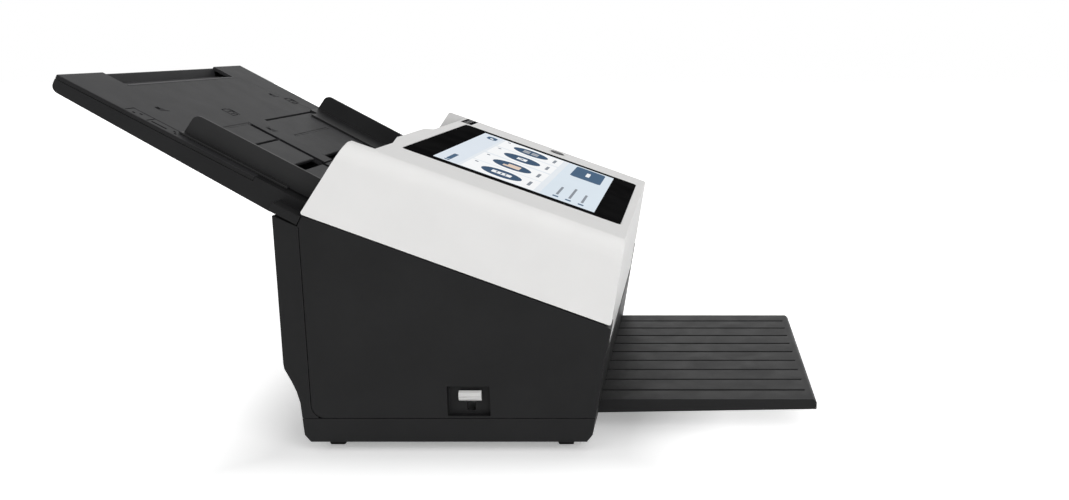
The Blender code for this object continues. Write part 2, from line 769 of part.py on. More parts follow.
def make_left_cover():
    cover = make_side_cover("left_side_cover")
    low_z = BAND_TOP_Z + GAP
    outer_x = -HALF_WIDTH
    back_x = outer_x + RECESS_DEPTH + RECESS_WALL
    shell_low = (outer_x + SIDE_WALL / 2, RECESS_FRONT_Y - RECESS_WALL, low_z)
    shell_high = (back_x, RECESS_REAR_Y + RECESS_WALL, RECESS_TOP_Z + RECESS_WALL)
    join(cover, box("recess_shell", shell_low, shell_high))
    room_low = (outer_x - CUT_OVERRUN, RECESS_FRONT_Y, low_z + RECESS_WALL)
    room_high = (outer_x + RECESS_DEPTH, RECESS_REAR_Y, RECESS_TOP_Z)
    cut(cover, box("recess_room", room_low, room_high))
    half = KNOB_STEM_WIDTH / 2 + RUNNING_GAP
    stem_z = KNOB_BOTTOM_Z + KNOB_HEIGHT / 2
    slot_low = (outer_x, KNOB_Y - half, stem_z - KNOB_STEM_HEIGHT / 2 - KNOB_TRAVEL - RUNNING_GAP)
    slot_high = (back_x + CUT_OVERRUN, KNOB_Y + half, stem_z + KNOB_STEM_HEIGHT / 2 + RUNNING_GAP)
    cut(cover, box("stem_slot", slot_low, slot_high))
    return finish(cover, "black_plastic")


def make_right_cover():
    draft = make_side_cover("right_draft")
    cover = mirrored(draft, "right_side_cover")
    bpy.data.objects.remove(draft, do_unlink=True)
    return finish(cover, "black_plastic")


def make_rear_cover():
    low_z = BAND_TOP_Z + GAP
    front = REAR_SPLIT_Y + GAP
    corner = (REAR_SPLIT_Y - PANEL_CORNER_RADIUS, low_z + PANEL_CORNER_RADIUS)
    wrap = arc(corner, PANEL_CORNER_RADIUS + GAP, -60, 0, 4)
    wrap.insert(0, (wrap[0][0], low_z))
    rear = rear_outline(low_z, REAR_WALL_TOP_Z)
    outline = wrap + [(front, ear_slot_z(front))]
    outline.append((REAR_WALL_Y, min(ear_slot_z(REAR_WALL_Y), REAR_WALL_TOP_Z)))
    outline += reversed(rear[:-1])
    cover = across("rear_cover", outline, -HALF_WIDTH, HALF_WIDTH)
    inner_x = HALF_WIDTH - SIDE_WALL
    wall = [(y - PANEL_WALL, z) for y, z in rear]
    wall[0] = (wall[0][0], low_z - CUT_OVERRUN)
    wall[-1] = (wall[-1][0], REAR_WALL_TOP_Z + CUT_OVERRUN)
    room_front = wrap[0][0] - CUT_OVERRUN
    room = wall + [(room_front, REAR_WALL_TOP_Z + CUT_OVERRUN), (room_front, low_z - CUT_OVERRUN)]
    cut(cover, across("rear_room", room, -inner_x, inner_x))
    for x, width, height in socket_sizes():
        half = width / 2 + GAP
        low = (x - half, REAR_SPLIT_Y, SOCKET_CENTRE_Z - height / 2 - GAP)
        high = (x + half, REAR_WALL_Y + CUT_OVERRUN, SOCKET_CENTRE_Z + height / 2 + GAP)
        cut(cover, box("socket_hole", low, high))
    for index in range(VENT_COUNT):
        x = (index - (VENT_COUNT - 1) / 2) * VENT_PITCH
        low = (x - VENT_WIDTH / 2, REAR_SPLIT_Y, VENT_CENTRE_Z - VENT_HEIGHT / 2)
        high = (x + VENT_WIDTH / 2, REAR_WALL_Y + CUT_OVERRUN, VENT_CENTRE_Z + VENT_HEIGHT / 2)
        cut(cover, box("vent", low, high))
    inner_wall_y = REAR_WALL_Y - PANEL_WALL
    post_y = BOARD_Y + BOARD_THICKNESS + GAP
    post_reach = BOARD_WIDTH / 2 - 2 * STANDOFF_RADIUS
    for x in (BOARD_CENTRE_X - post_reach, BOARD_CENTRE_X + post_reach):
        z = BOARD_TOP_Z - 2 * STANDOFF_RADIUS
        post = lengthwise("post", circle((x, z), STANDOFF_RADIUS, 12), post_y, inner_wall_y + PANEL_WALL / 2)
        join(cover, post)
    return finish(cover, "black_plastic")


def make_front_cover():
    inner_x = COLUMN_INNER_X - GAP
    low_z = BAND_TOP_Z + GAP
    wall = PANEL_WALL / math.cos(math.atan(FRONT_LEAN))
    outline = [
        (front_y(low_z), low_z),
        (front_y(EXIT_WALL_TOP_Z), EXIT_WALL_TOP_Z),
        (EXIT_SHELF_REAR_Y, EXIT_WALL_TOP_Z),
        (EXIT_SHELF_REAR_Y, EXIT_WALL_TOP_Z - PANEL_WALL),
        (front_y(EXIT_WALL_TOP_Z - PANEL_WALL) + wall, EXIT_WALL_TOP_Z - PANEL_WALL),
        (front_y(low_z) + wall, low_z),
    ]
    cover = across("front_cover", outline, -inner_x, inner_x)
    notch_x = OUTPUT_HALF_WIDTH + RUNNING_GAP
    notch_low = (-notch_x, front_y(low_z) - CUT_OVERRUN, low_z - CUT_OVERRUN)
    notch_high = (notch_x, front_y(low_z) + 2 * CUT_OVERRUN, OUTPUT_TOP_Z + RUNNING_GAP)
    cut(cover, box("tray_notch", notch_low, notch_high))
    return finish(cover, "black_plastic")


def make_feet():
    feet = []
    for end, y in (("front", FOOT_FRONT_Y), ("rear", FOOT_REAR_Y)):
        for side_name, side in (("left", -1), ("right", 1)):
            x = side * (FOOT_OUTER_X - FOOT_WIDTH / 2)
            half_width = FOOT_WIDTH / 2
            sections = []
            for z, length in ((0.0, FOOT_TIP_LENGTH), (FOOT_HEIGHT - GAP, FOOT_LENGTH)):
                half = length / 2
                edges = rectangle((x - half_width, y - half), (x + half_width, y + half))
                sections.append([(edge_x, edge_y, z) for edge_x, edge_y in edges])
            foot = loft("foot_" + end + "_" + side_name, sections)
            feet.append(finish(foot, "foot_rubber"))
    return feet


# Inner frames and paper guides
def roller_centres():
    """Centres (y, z) of the three driven rollers below the path."""
    nips = (
        ("feed", FEED_NIP_Y, FEED_TYRE_RADIUS),
        ("transport", TRANSPORT_NIP_Y, DRIVEN_TYRE_RADIUS),
        ("exit", EXIT_NIP_Y, DRIVEN_TYRE_RADIUS),
    )
    return {name: path_point(y, 0, -radius - GAP / 2) for name, y, radius in nips}


def idler_centres():
    """Centres (y, z) of the free rollers in the cover, above the path."""
    nips = (
        ("separation", FEED_NIP_Y, SEPARATION_RADIUS),
        ("transport", TRANSPORT_NIP_Y, IDLER_RADIUS),
        ("exit", EXIT_NIP_Y, IDLER_RADIUS),
    )
    return {name: path_point(y, 0, radius + GAP / 2) for name, y, radius in nips}


def motor_centre():
    distance = GEAR_MODULE * (GEAR_TEETH + PINION_TEETH) / 2
    y, z = roller_centres()["transport"]
    angle = math.radians(MOTOR_TILT_DEG)
    return y + distance * math.sin(angle), z - distance * math.cos(angle)


def frame_outline():
    floor_z = FOOT_HEIGHT + PAN_FLOOR + GAP
    lean_wall = PANEL_WALL / math.cos(math.atan(FRONT_LEAN))
    ear = HINGE_EAR_RADIUS
    front_low_z = EXIT_WALL_TOP_Z - ear
    rear_y = min(y for y, z in rear_outline(FOOT_HEIGHT, BAND_TOP_Z)) - PANEL_WALL - GAP
    tail_z = tray_line_z(rear_y, -TRAY_STEP_HEIGHT - FRAME_TRAY_CLEARANCE)
    outline = [
        (front_y(floor_z) + lean_wall + GAP, floor_z),
        (front_y(front_low_z) + lean_wall + GAP, front_low_z),
        (HINGE_Y - ear + GAP, HINGE_Z),
    ]
    outline += arc((HINGE_Y, HINGE_Z), ear, 150, 60, 4)
    outline.append(path_line(GUIDE_FRONT_Y, PATH_LOWER_DROP))
    outline.append(path_line(CHUTE_FRONT_Y, PATH_LOWER_DROP))
    knee_y = CHUTE_TAB_REAR_Y
    outline.append((knee_y, tray_line_z(knee_y, -TRAY_STEP_HEIGHT - FRAME_TRAY_CLEARANCE)))
    outline.append((rear_y, tail_z))
    outline.append((rear_y, floor_z))
    return outline


def make_frame(name):
    """Left frame, at -x, with the bores for the roller shafts and the hinge pin."""
    low_x, high_x = -FRAME_INNER_X - FRAME_PLATE, -FRAME_INNER_X
    frame = across(name, frame_outline(), low_x, high_x)
    bores = [(centre, SHAFT_RADIUS + GAP) for centre in roller_centres().values()]
    bores.append(((HINGE_Y, HINGE_Z), HINGE_PIN_RADIUS + GAP))
    for centre, radius in bores:
        cut(frame, rod("bore", low_x - CUT_OVERRUN, high_x + CUT_OVERRUN, radius, centre))
    return frame


def make_frames():
    left = make_frame("left_frame")
    right = mirrored(left, "right_frame")
    stud_end_x = -FRAME_INNER_X - FRAME_PLATE - GAP - LATCH_PLATE - GAP
    pivot = (LATCH_PIVOT_Y, LATCH_PIVOT_Z)
    join(left, rod("latch_stud", stud_end_x, -FRAME_INNER_X - FRAME_PLATE / 2, LATCH_STUD_RADIUS, pivot, 16))
    hole_low_x = FRAME_INNER_X - CUT_OVERRUN
    hole_high_x = FRAME_INNER_X + CUT_OVERRUN
    shaft_hole = rod("hole", hole_low_x, hole_high_x, MOTOR_BOSS_RADIUS + GAP, motor_centre())
    cut(right, shaft_hole)
    finish(left, "frame_steel")
    finish(right, "frame_steel")


def scan_window(half_width, reach):
    """Cutter for the scan glass, square to the path, as far as reach on both sides of it."""
    half_length = SCAN_GLASS_HALF_LENGTH + GAP
    return across("scan_window", around_path(SCAN_Y, half_width, -reach, reach), -half_length, half_length)


def make_lower_guide():
    half_width = FRAME_INNER_X - GAP
    drop = PATH_LOWER_DROP
    lip_z = path_line(GUIDE_FRONT_Y, -drop)[1] - GUIDE_LIP_DROP
    outline = [
        path_line(GUIDE_FRONT_Y, -drop),
        path_line(CHUTE_FRONT_Y - GAP, -drop),
        path_line(CHUTE_FRONT_Y - GAP, -drop - GUIDE_PLATE),
        path_line(GUIDE_FRONT_Y + GUIDE_PLATE, -drop - GUIDE_PLATE),
        (GUIDE_FRONT_Y + GUIDE_PLATE, lip_z),
        (GUIDE_FRONT_Y, lip_z),
    ]
    guide = across("lower_guide", outline, -half_width, half_width)
    half_tyre = TYRE_WIDTH / 2 + HUB_FLANGE + TYRE_WINDOW_MARGIN
    for centre, x, radius in driven_tyres():
        cut(guide, rod("tyre_window", x - half_tyre, x + half_tyre, radius + TYRE_WINDOW_MARGIN, centre))
    reach = drop + GUIDE_PLATE + CUT_OVERRUN
    slot_half = SCAN_GLASS_WIDTH / 2 + GAP
    cut(guide, scan_window(slot_half, reach))
    return finish(guide, "black_plastic")


def driven_tyres():
    """(centre, tyre x, tyre radius) of each driven tyre."""
    centres = roller_centres()
    tyres = []
    for side in (-1, 1):
        tyres.append((centres["feed"], side * FEED_TYRE_X, FEED_TYRE_RADIUS))
        tyres.append((centres["transport"], side * DRIVEN_TYRE_X, DRIVEN_TYRE_RADIUS))
        tyres.append((centres["exit"], side * DRIVEN_TYRE_X, DRIVEN_TYRE_RADIUS))
    return tyres


def make_feed_chute():
    rear_y = tray_point(CHUTE_REAR_ALONG, -CHUTE_DROP)[0]
    plate = GUIDE_PLATE * 2
    outline = [
        path_line(CHUTE_FRONT_Y, -PATH_LOWER_DROP),
        (CHUTE_TAB_REAR_Y, tray_line_z(CHUTE_TAB_REAR_Y, -CHUTE_DROP)),
        (rear_y, tray_line_z(rear_y, -CHUTE_DROP)),
        (rear_y, tray_line_z(rear_y, -CHUTE_DROP - plate)),
        (CHUTE_TAB_REAR_Y, tray_line_z(CHUTE_TAB_REAR_Y, -CHUTE_DROP - plate)),
        (CHUTE_FRONT_Y, tray_line_z(CHUTE_FRONT_Y, -CHUTE_DROP - plate)),
    ]
    chute = across("feed_chute", outline, -CHUTE_HALF_WIDTH, CHUTE_HALF_WIDTH)
    tab = [outline[0], outline[1], outline[4], outline[5]]
    tab_x = FRAME_INNER_X - GAP
    join(chute, across("chute_tab", tab, -tab_x, tab_x))
    return finish(chute, "tray_plastic")


# Scan units and their glasses
def make_scan_unit(name, glass_name, side):
    """side is -1 for the unit below the path and 1 for the one above it."""
    face = PATH_LOWER_DROP if side < 0 else PATH_UPPER_RISE
    plate = GUIDE_PLATE + GAP
    near = side * (face + plate)
    far = side * (face + plate + SCAN_UNIT_DEPTH)
    low, high = sorted((near, far))
    half_width = SCAN_UNIT_WIDTH / 2
    outline = around_path(SCAN_Y, half_width, low, high)
    unit = across(name, outline, -SCAN_UNIT_HALF_LENGTH, SCAN_UNIT_HALF_LENGTH)
    low, high = sorted((near + side * SCAN_SLOT_DEPTH, near - side * CUT_OVERRUN))
    slot = around_path(SCAN_Y, SCAN_SLOT_WIDTH / 2, low, high)
    slot_x = SCAN_GLASS_HALF_LENGTH - SCAN_UNIT_WIDTH / 4
    cut(unit, across("lens_slot", slot, -slot_x, slot_x))
    low, high = sorted((side * face, near - side * GAP))
    pane_outline = around_path(SCAN_Y, SCAN_GLASS_WIDTH / 2, low, high)
    glass = across(glass_name, pane_outline, -SCAN_GLASS_HALF_LENGTH, SCAN_GLASS_HALF_LENGTH)
    return finish(unit, "dark_plastic"), finish(glass, "scan_glass")


# Rollers and drive
def hub_stations(x, hub_radius, shaft_radius):
    """Shaft swells to a hub between two flanges around a tyre's place."""
    half = TYRE_WIDTH / 2 + GAP
    flange_radius = hub_radius + HUB_FLANGE_RISE
    return [
        (x - half - HUB_FLANGE, shaft_radius),
        (x - half - HUB_FLANGE, flange_radius),
        (x - half, flange_radius),
        (x - half, hub_radius),
        (x + half, hub_radius),
        (x + half, flange_radius),
        (x + half + HUB_FLANGE, flange_radius),
        (x + half + HUB_FLANGE, shaft_radius),
    ]


def make_roller(name, centre, tyre_x, tyre_radius, hub_radius, right_end_x):
    left_x = -FRAME_INNER_X - FRAME_PLATE - GAP
    stations = [(left_x, SHAFT_RADIUS)]
    for x in (-tyre_x, tyre_x):
        stations += hub_stations(x, hub_radius, SHAFT_RADIUS)
    stations.append((right_end_x, SHAFT_RADIUS))
    shaft = finish(turned(name + "_shaft", stations, centre), "shaft_steel", smooth=True)
    pieces = [shaft]
    half = TYRE_WIDTH / 2
    for side_name, x in (("left", -tyre_x), ("right", tyre_x)):
        tyre = rod(name + "_tyre_" + side_name, x - half, x + half, tyre_radius, centre)
        cut(tyre, rod("tyre_bore", x - TYRE_WIDTH, x + TYRE_WIDTH, hub_radius + GAP, centre))
        pieces.append(finish(tyre, "tyre_rubber", smooth=True))
    return pieces


def pulley_low_x():
    return GEAR_X + GEAR_FACE_WIDTH + GAP


def pulley_stations(low_x):
    flange = PULLEY_RADIUS + PULLEY_FLANGE_RISE
    groove_low = low_x + PULLEY_FLANGE_WIDTH
    groove_high = groove_low + PULLEY_WIDTH
    return [
        (low_x, flange),
        (groove_low, flange),
        (groove_low, PULLEY_RADIUS),
        (groove_high, PULLEY_RADIUS),
        (groove_high, flange),
        (groove_high + PULLEY_FLANGE_WIDTH, flange),
    ]


def make_pulley(name, centre):
    low_x = pulley_low_x()
    pulley = turned(name, pulley_stations(low_x), centre)
    high_x = low_x + PULLEY_WIDTH + 2 * CUT_OVERRUN
    bore = rod("bore", low_x - CUT_OVERRUN, high_x, SHAFT_RADIUS + GAP, centre)
    cut(pulley, bore)
    return finish(pulley, "gear_plastic", smooth=True)


def gear_outline(teeth, module, centre, first_tooth_deg):
    """Outline of a spur gear; a tooth points along first_tooth_deg."""
    pitch_radius = module * teeth / 2
    rings = (
        (pitch_radius - module * DEDENDUM_SHARE, ROOT_HALF_SHARE),
        (pitch_radius, PITCH_HALF_SHARE),
        (pitch_radius + module * ADDENDUM_SHARE, TIP_HALF_SHARE),
    )
    points = []
    for tooth in range(teeth):
        profile = [(radius, -share) for radius, share in rings]
        profile += [(radius, share) for radius, share in reversed(rings)]
        for radius, share in profile:
            angle = math.radians(first_tooth_deg) + 2 * math.pi * (tooth + share) / teeth
            points.append((centre[0] + radius * math.cos(angle), centre[1] + radius * math.sin(angle)))
    return points


def make_drive():
    centres = roller_centres()
    transport = centres["transport"]
    motor = motor_centre()
    line_deg = math.degrees(math.atan2(motor[1] - transport[1], motor[0] - transport[0]))
    gear_high_x = GEAR_X + GEAR_FACE_WIDTH
    gear = across("reduction_gear", gear_outline(GEAR_TEETH, GEAR_MODULE, transport, line_deg), GEAR_X, gear_high_x)
    stations = pulley_stations(GEAR_X + GEAR_FACE_WIDTH / 2)[:1] + pulley_stations(pulley_low_x())
    join(gear, turned("gear_pulley", stations, transport))
    bore_high_x = gear_high_x + PULLEY_WIDTH + CUT_OVERRUN
    cut(gear, rod("bore", GEAR_X - CUT_OVERRUN, bore_high_x, SHAFT_RADIUS + GAP, transport))
    finish(gear, "gear_plastic")
    half_tooth_deg = 180 / PINION_TEETH
    pinion_outline = gear_outline(PINION_TEETH, GEAR_MODULE, motor, line_deg + 180 + half_tooth_deg)
    pinion = across("motor_pinion", pinion_outline, GEAR_X, GEAR_X + GEAR_FACE_WIDTH)
    cut(pinion, rod("bore", GEAR_X - CUT_OVERRUN, gear_high_x + CUT_OVERRUN, MOTOR_SHAFT_RADIUS + GAP, motor, 12))
    finish(pinion, "gear_plastic")
    body_high_x = FRAME_INNER_X - GAP
    shaft_end_x = GEAR_X + GEAR_FACE_WIDTH + GAP
    stations = (
        (body_high_x - MOTOR_LENGTH, MOTOR_RADIUS),
        (body_high_x, MOTOR_RADIUS),
        (body_high_x, MOTOR_BOSS_RADIUS),
        (body_high_x + MOTOR_BOSS_LENGTH, MOTOR_BOSS_RADIUS),
        (body_high_x + MOTOR_BOSS_LENGTH, MOTOR_SHAFT_RADIUS),
        (shaft_end_x, MOTOR_SHAFT_RADIUS),
    )
    finish(turned("drive_motor", stations, motor), "frame_steel", smooth=True)
    feed_pulley = make_pulley("feed_pulley", centres["feed"])
    exit_pulley = make_pulley("exit_pulley", centres["exit"])
    low_x = pulley_low_x() + PULLEY_FLANGE_WIDTH + GAP
    high_x = low_x + PULLEY_WIDTH - 2 * GAP
    inner = []
    for centre in centres.values():
        inner += circle(centre, PULLEY_RADIUS + GAP, 2 * ROUND_SIDES)
    outer_radius = PULLEY_RADIUS + GAP + BELT_THICKNESS
    outer = [point for centre in centres.values() for point in circle(centre, outer_radius, 2 * ROUND_SIDES)]
    belt = across("drive_belt", hull(outer), low_x, high_x)
    cut(belt, across("belt_room", hull(inner), low_x - CUT_OVERRUN, high_x + CUT_OVERRUN))
    finish(belt, "tyre_rubber", smooth=True)
    set_origin(gear, (GEAR_X, *transport))
    set_origin(pinion, (GEAR_X, *motor))
    set_origin(feed_pulley, (GEAR_X, *centres["feed"]))
    set_origin(exit_pulley, (GEAR_X, *centres["exit"]))


def make_driven_rollers():
    centres = roller_centres()
    right_end_x = pulley_low_x() + PULLEY_WIDTH + 2 * PULLEY_FLANGE_WIDTH + GAP
    sizes = (
        ("feed", FEED_TYRE_X, FEED_TYRE_RADIUS, FEED_HUB_RADIUS),
        ("transport", DRIVEN_TYRE_X, DRIVEN_TYRE_RADIUS, DRIVEN_HUB_RADIUS),
        ("exit", DRIVEN_TYRE_X, DRIVEN_TYRE_RADIUS, DRIVEN_HUB_RADIUS),
    )
    for name, tyre_x, tyre_radius, hub_radius in sizes:
        for piece in make_roller(name, centres[name], tyre_x, tyre_radius, hub_radius, right_end_x):
            set_origin(piece, (0, *centres[name]))


# Cover: shell, liner, glass and what it carries
def cover_section(x, drop, wall=0.0):
    """Outline of the cover at one x, with its top lowered by drop and its walls drawn in."""
    lean = math.atan(FRONT_LEAN)
    rear_angle = math.atan(COVER_REAR_SLOPE)
    front_shift = wall / math.cos(lean)
    top_shift = drop + wall / math.cos(TOP_ANGLE)
    rear_shift = wall / math.sin(rear_angle)
    bottom_shift = CUT_OVERRUN if wall else 0.0
    seam_drop = (SEAM_REAR_Y - FRONT_TOE_Y - TOE_Z * FRONT_LEAN) * SEAM_SLOPE
    seam_front_z = (SEAM_REAR_Z - seam_drop) / (1 + FRONT_LEAN * SEAM_SLOPE)
    low_front_z = seam_front_z - bottom_shift
    front_low = (front_y(low_front_z) + front_shift, low_front_z)
    top_at_toe = top_z(FRONT_TOE_Y + TOE_Z * FRONT_LEAN + front_shift) - top_shift
    front_high_z = top_at_toe / (1 + FRONT_LEAN * TOP_SLOPE)
    front_high = (front_y(front_high_z) + front_shift, front_high_z)
    rear_base_y = SEAM_REAR_Y - rear_shift
    rise = SEAM_REAR_Z + rear_base_y * COVER_REAR_SLOPE - top_z(0.0) + top_shift
    rear_high_y = rise / (TOP_SLOPE + COVER_REAR_SLOPE)
    rear_high = (rear_high_y, top_z(rear_high_y) - top_shift)
    rear_low = (rear_base_y + bottom_shift / COVER_REAR_SLOPE, SEAM_REAR_Z - bottom_shift)
    outline = rounded([front_low, rear_low, rear_high, front_high], COVER_CORNER_RADIUS / 2, 3)
    return [(x, y, z) for y, z in outline]


def cover_solid(name, wall):
    side = HALF_WIDTH - wall
    sections = []
    for index in range(SHOULDER_STEPS + 1):
        angle = math.pi / 2 * index / SHOULDER_STEPS
        x = side - SHOULDER_INSET * (1 - math.cos(angle))
        drop = SHOULDER_DROP * (1 - math.sin(angle))
        sections.append((x, drop))
    left = [cover_section(-x, drop, wall) for x, drop in sections]
    right = [cover_section(x, drop, wall) for x, drop in reversed(sections)]
    return loft(name, left + right)


def middle_recess(name, wall):
    """Room for the input tray between the arms; its front follows the cover's rear edge."""
    side = ARM_INNER_X + wall
    base = MIDDLE_REAR_Y - wall
    bump = base + BUMP_DEPTH
    rear = SEAM_REAR_Y + CUT_OVERRUN
    plan = [
        (-side, rear),
        (-side, base),
        (BUMP_LEFT_X, base),
        (BUMP_LEFT_TOP_X, bump),
        (BUMP_RIGHT_TOP_X, bump),
        (BUMP_RIGHT_X, base),
        (side, base),
        (side, rear),
    ]
    low_z = seam_z(MIDDLE_REAR_Y) - 2 * CUT_OVERRUN
    return upright(name, plan, low_z, top_z(SEAM_REAR_Y))


def top_frame():
    return pivot_frame("cover_top_frame", (0, TOP_FRONT_Y, TOP_FRONT_Z), TOP_ANGLE)


def on_top(piece):
    """Move a piece made in the plane of the cover's top to its place in the world."""
    place = Matrix.Translation((0, TOP_FRONT_Y, TOP_FRONT_Z)) @ Matrix.Rotation(TOP_ANGLE, 4, "X")
    piece.data.transform(place)
    return piece


def top_plate(name, centre, size, low, high, radius):
    """Rounded plate in the plane of the cover's top; centre and size are (x, along)."""
    outline = rectangle(
        (centre[0] - size[0] / 2, centre[1] - size[1] / 2),
        (centre[0] + size[0] / 2, centre[1] + size[1] / 2),
    )
    return on_top(upright(name, rounded(outline, radius), low, high))


def top_block(name, centre, size, low, high):
    corner_low = (centre[0] - size[0] / 2, centre[1] - size[1] / 2, low)
    corner_high = (centre[0] + size[0] / 2, centre[1] + size[1] / 2, high)
    return on_top(box(name, corner_low, corner_high))


def top_disc(name, radius, low, high):
    """Disc at the power button's place in the plane of the cover's top."""
    return on_top(upright(name, circle((BUTTON_X, BUTTON_ALONG), radius), low, high))


def glass_centre():
    return 0.0, GLASS_FRONT_MARGIN + GLASS_LENGTH / 2


def display_centre():
    return 0.0, DISPLAY_FRONT_MARGIN + GLASS_FRONT_MARGIN + DISPLAY_LENGTH / 2


def make_cover_shell():
    shell = cover_solid("cover_shell", 0.0)
    cut(shell, middle_recess("recess", 0.0))
    room = cover_solid("room", COVER_WALL)
    cut(room, middle_recess("recess_wall", ARM_WALL))
    cut(shell, room)
    lean_wall = COVER_WALL / math.cos(math.atan(FRONT_LEAN))
    apron_x = COLUMN_INNER_X - RUNNING_GAP
    apron_top_z = seam_z(TOP_FRONT_Y) + COVER_CORNER_RADIUS * 3
    apron = [
        (front_y(APRON_BOTTOM_Z), APRON_BOTTOM_Z),
        (front_y(apron_top_z), apron_top_z),
        (front_y(apron_top_z) + lean_wall, apron_top_z),
        (front_y(APRON_BOTTOM_Z) + lean_wall, APRON_BOTTOM_Z),
    ]
    join(shell, across("apron", apron, -apron_x, apron_x))
    mouth_front_y = MIDDLE_REAR_Y - ARM_WALL - CUT_OVERRUN
    mouth_low = (-MOUTH_HALF_WIDTH, mouth_front_y, seam_z(MIDDLE_REAR_Y) - 3 * CUT_OVERRUN)
    mouth_high = (MOUTH_HALF_WIDTH, MIDDLE_REAR_Y + BUMP_DEPTH + CUT_OVERRUN, MOUTH_TOP_Z)
    cut(shell, box("feed_mouth", mouth_low, mouth_high))
    bezel_size = (GLASS_WIDTH + 2 * BEZEL_BORDER, GLASS_LENGTH + 2 * BEZEL_BORDER)
    join(shell, top_block("bezel", glass_centre(), bezel_size, -BEZEL_DEPTH, -COVER_WALL / 2))
    seat_size = (GLASS_WIDTH + 2 * GAP, GLASS_LENGTH + 2 * GAP)
    seat = top_plate("seat", glass_centre(), seat_size, -GLASS_THICKNESS - GAP, CUT_OVERRUN, GLASS_CORNER_RADIUS)
    cut(shell, seat)
    view_size = (DISPLAY_WIDTH + 2 * GAP, DISPLAY_LENGTH + 2 * GAP)
    cut(shell, top_block("view", display_centre(), view_size, -BEZEL_DEPTH - CUT_OVERRUN, CUT_OVERRUN))
    collar_radius = BUTTON_RADIUS + GAP + BUTTON_COLLAR_WALL
    join(shell, top_disc("collar", collar_radius, -COVER_WALL - BUTTON_COLLAR_DEPTH, -COVER_WALL / 2))
    hole_low = -COVER_WALL - BUTTON_COLLAR_DEPTH - CUT_OVERRUN
    cut(shell, top_disc("hole", BUTTON_RADIUS + GAP, hole_low, CUT_OVERRUN))
    window_centre = (BUTTON_X, WINDOW_ALONG)
    seat_size = (WINDOW_WIDTH + 2 * GAP, WINDOW_LENGTH + 2 * GAP)
    cut(shell, top_block("window_seat", window_centre, seat_size, -WINDOW_THICKNESS - GAP, CUT_OVERRUN))
    return finish(shell, "white_plastic", smooth=True)


def make_top_pieces(frame):
    glass_size = (GLASS_WIDTH, GLASS_LENGTH)
    glass = top_plate("touch_glass", glass_centre(), glass_size, -GLASS_THICKNESS, 0.0, GLASS_CORNER_RADIUS)
    display_top = -GLASS_THICKNESS - GAP
    display_size = (DISPLAY_WIDTH, DISPLAY_LENGTH)
    display_low = display_top - DISPLAY_THICKNESS
    display = top_block("display_module", display_centre(), display_size, display_low, display_top)
    board_top = -BEZEL_DEPTH - GAP
    board_size = (DISPLAY_WIDTH + BEZEL_BORDER, DISPLAY_LENGTH + BEZEL_BORDER)
    board = top_block("display_board", display_centre(), board_size, board_top - BOARD_THICKNESS, board_top)
    button = top_disc("power_button", BUTTON_RADIUS, BUTTON_PROUD - BUTTON_HEIGHT, BUTTON_PROUD)
    window_size = (WINDOW_WIDTH, WINDOW_LENGTH)
    rim_window = top_block("rim_window", (BUTTON_X, WINDOW_ALONG), window_size, -WINDOW_THICKNESS, 0.0)
    looks = (
        (glass, "display_glass"),
        (display, "dark_plastic"),
        (board, "board_green"),
        (button, "dark_plastic"),
        (rim_window, "display_glass"),
    )
    back = Matrix.Translation((0, TOP_FRONT_Y, TOP_FRONT_Z)) @ Matrix.Rotation(TOP_ANGLE, 4, "X")
    for piece, look in looks:
        finish(piece, look)
        piece.data.transform(back.inverted())
        piece.parent = frame


def bearing_block(centre, x):
    """Block that stands on the liner and holds an end of a free roller's shaft."""
    half = IDLER_SHAFT_RADIUS + BLOCK_WALL
    outline = [
        path_line(centre[0] - half, PATH_UPPER_RISE + GUIDE_PLATE / 2),
        path_line(centre[0] + half, PATH_UPPER_RISE + GUIDE_PLATE / 2),
        (centre[0] + half, centre[1] + half),
        (centre[0] - half, centre[1] + half),
    ]
    return across("block", outline, x - BLOCK_WIDTH / 2, x + BLOCK_WIDTH / 2)


def free_rollers():
    """Name, centre, roll radius and width, places of rolls and of bearings of each cover roller."""
    centres = idler_centres()
    separation_block_x = SEPARATION_WIDTH / 2 + BLOCK_WIDTH
    idler_block_x = DRIVEN_TYRE_X + TYRE_WIDTH / 2 + BLOCK_WIDTH
    idler_places = (-DRIVEN_TYRE_X, DRIVEN_TYRE_X)
    return (
        (
            "separation_roller",
            centres["separation"],
            SEPARATION_RADIUS,
            SEPARATION_WIDTH,
            (0.0,),
            separation_block_x,
        ),
        ("transport_idler", centres["transport"], IDLER_RADIUS, TYRE_WIDTH, idler_places, idler_block_x),
        ("exit_idler", centres["exit"], IDLER_RADIUS, TYRE_WIDTH, idler_places, idler_block_x),
    )


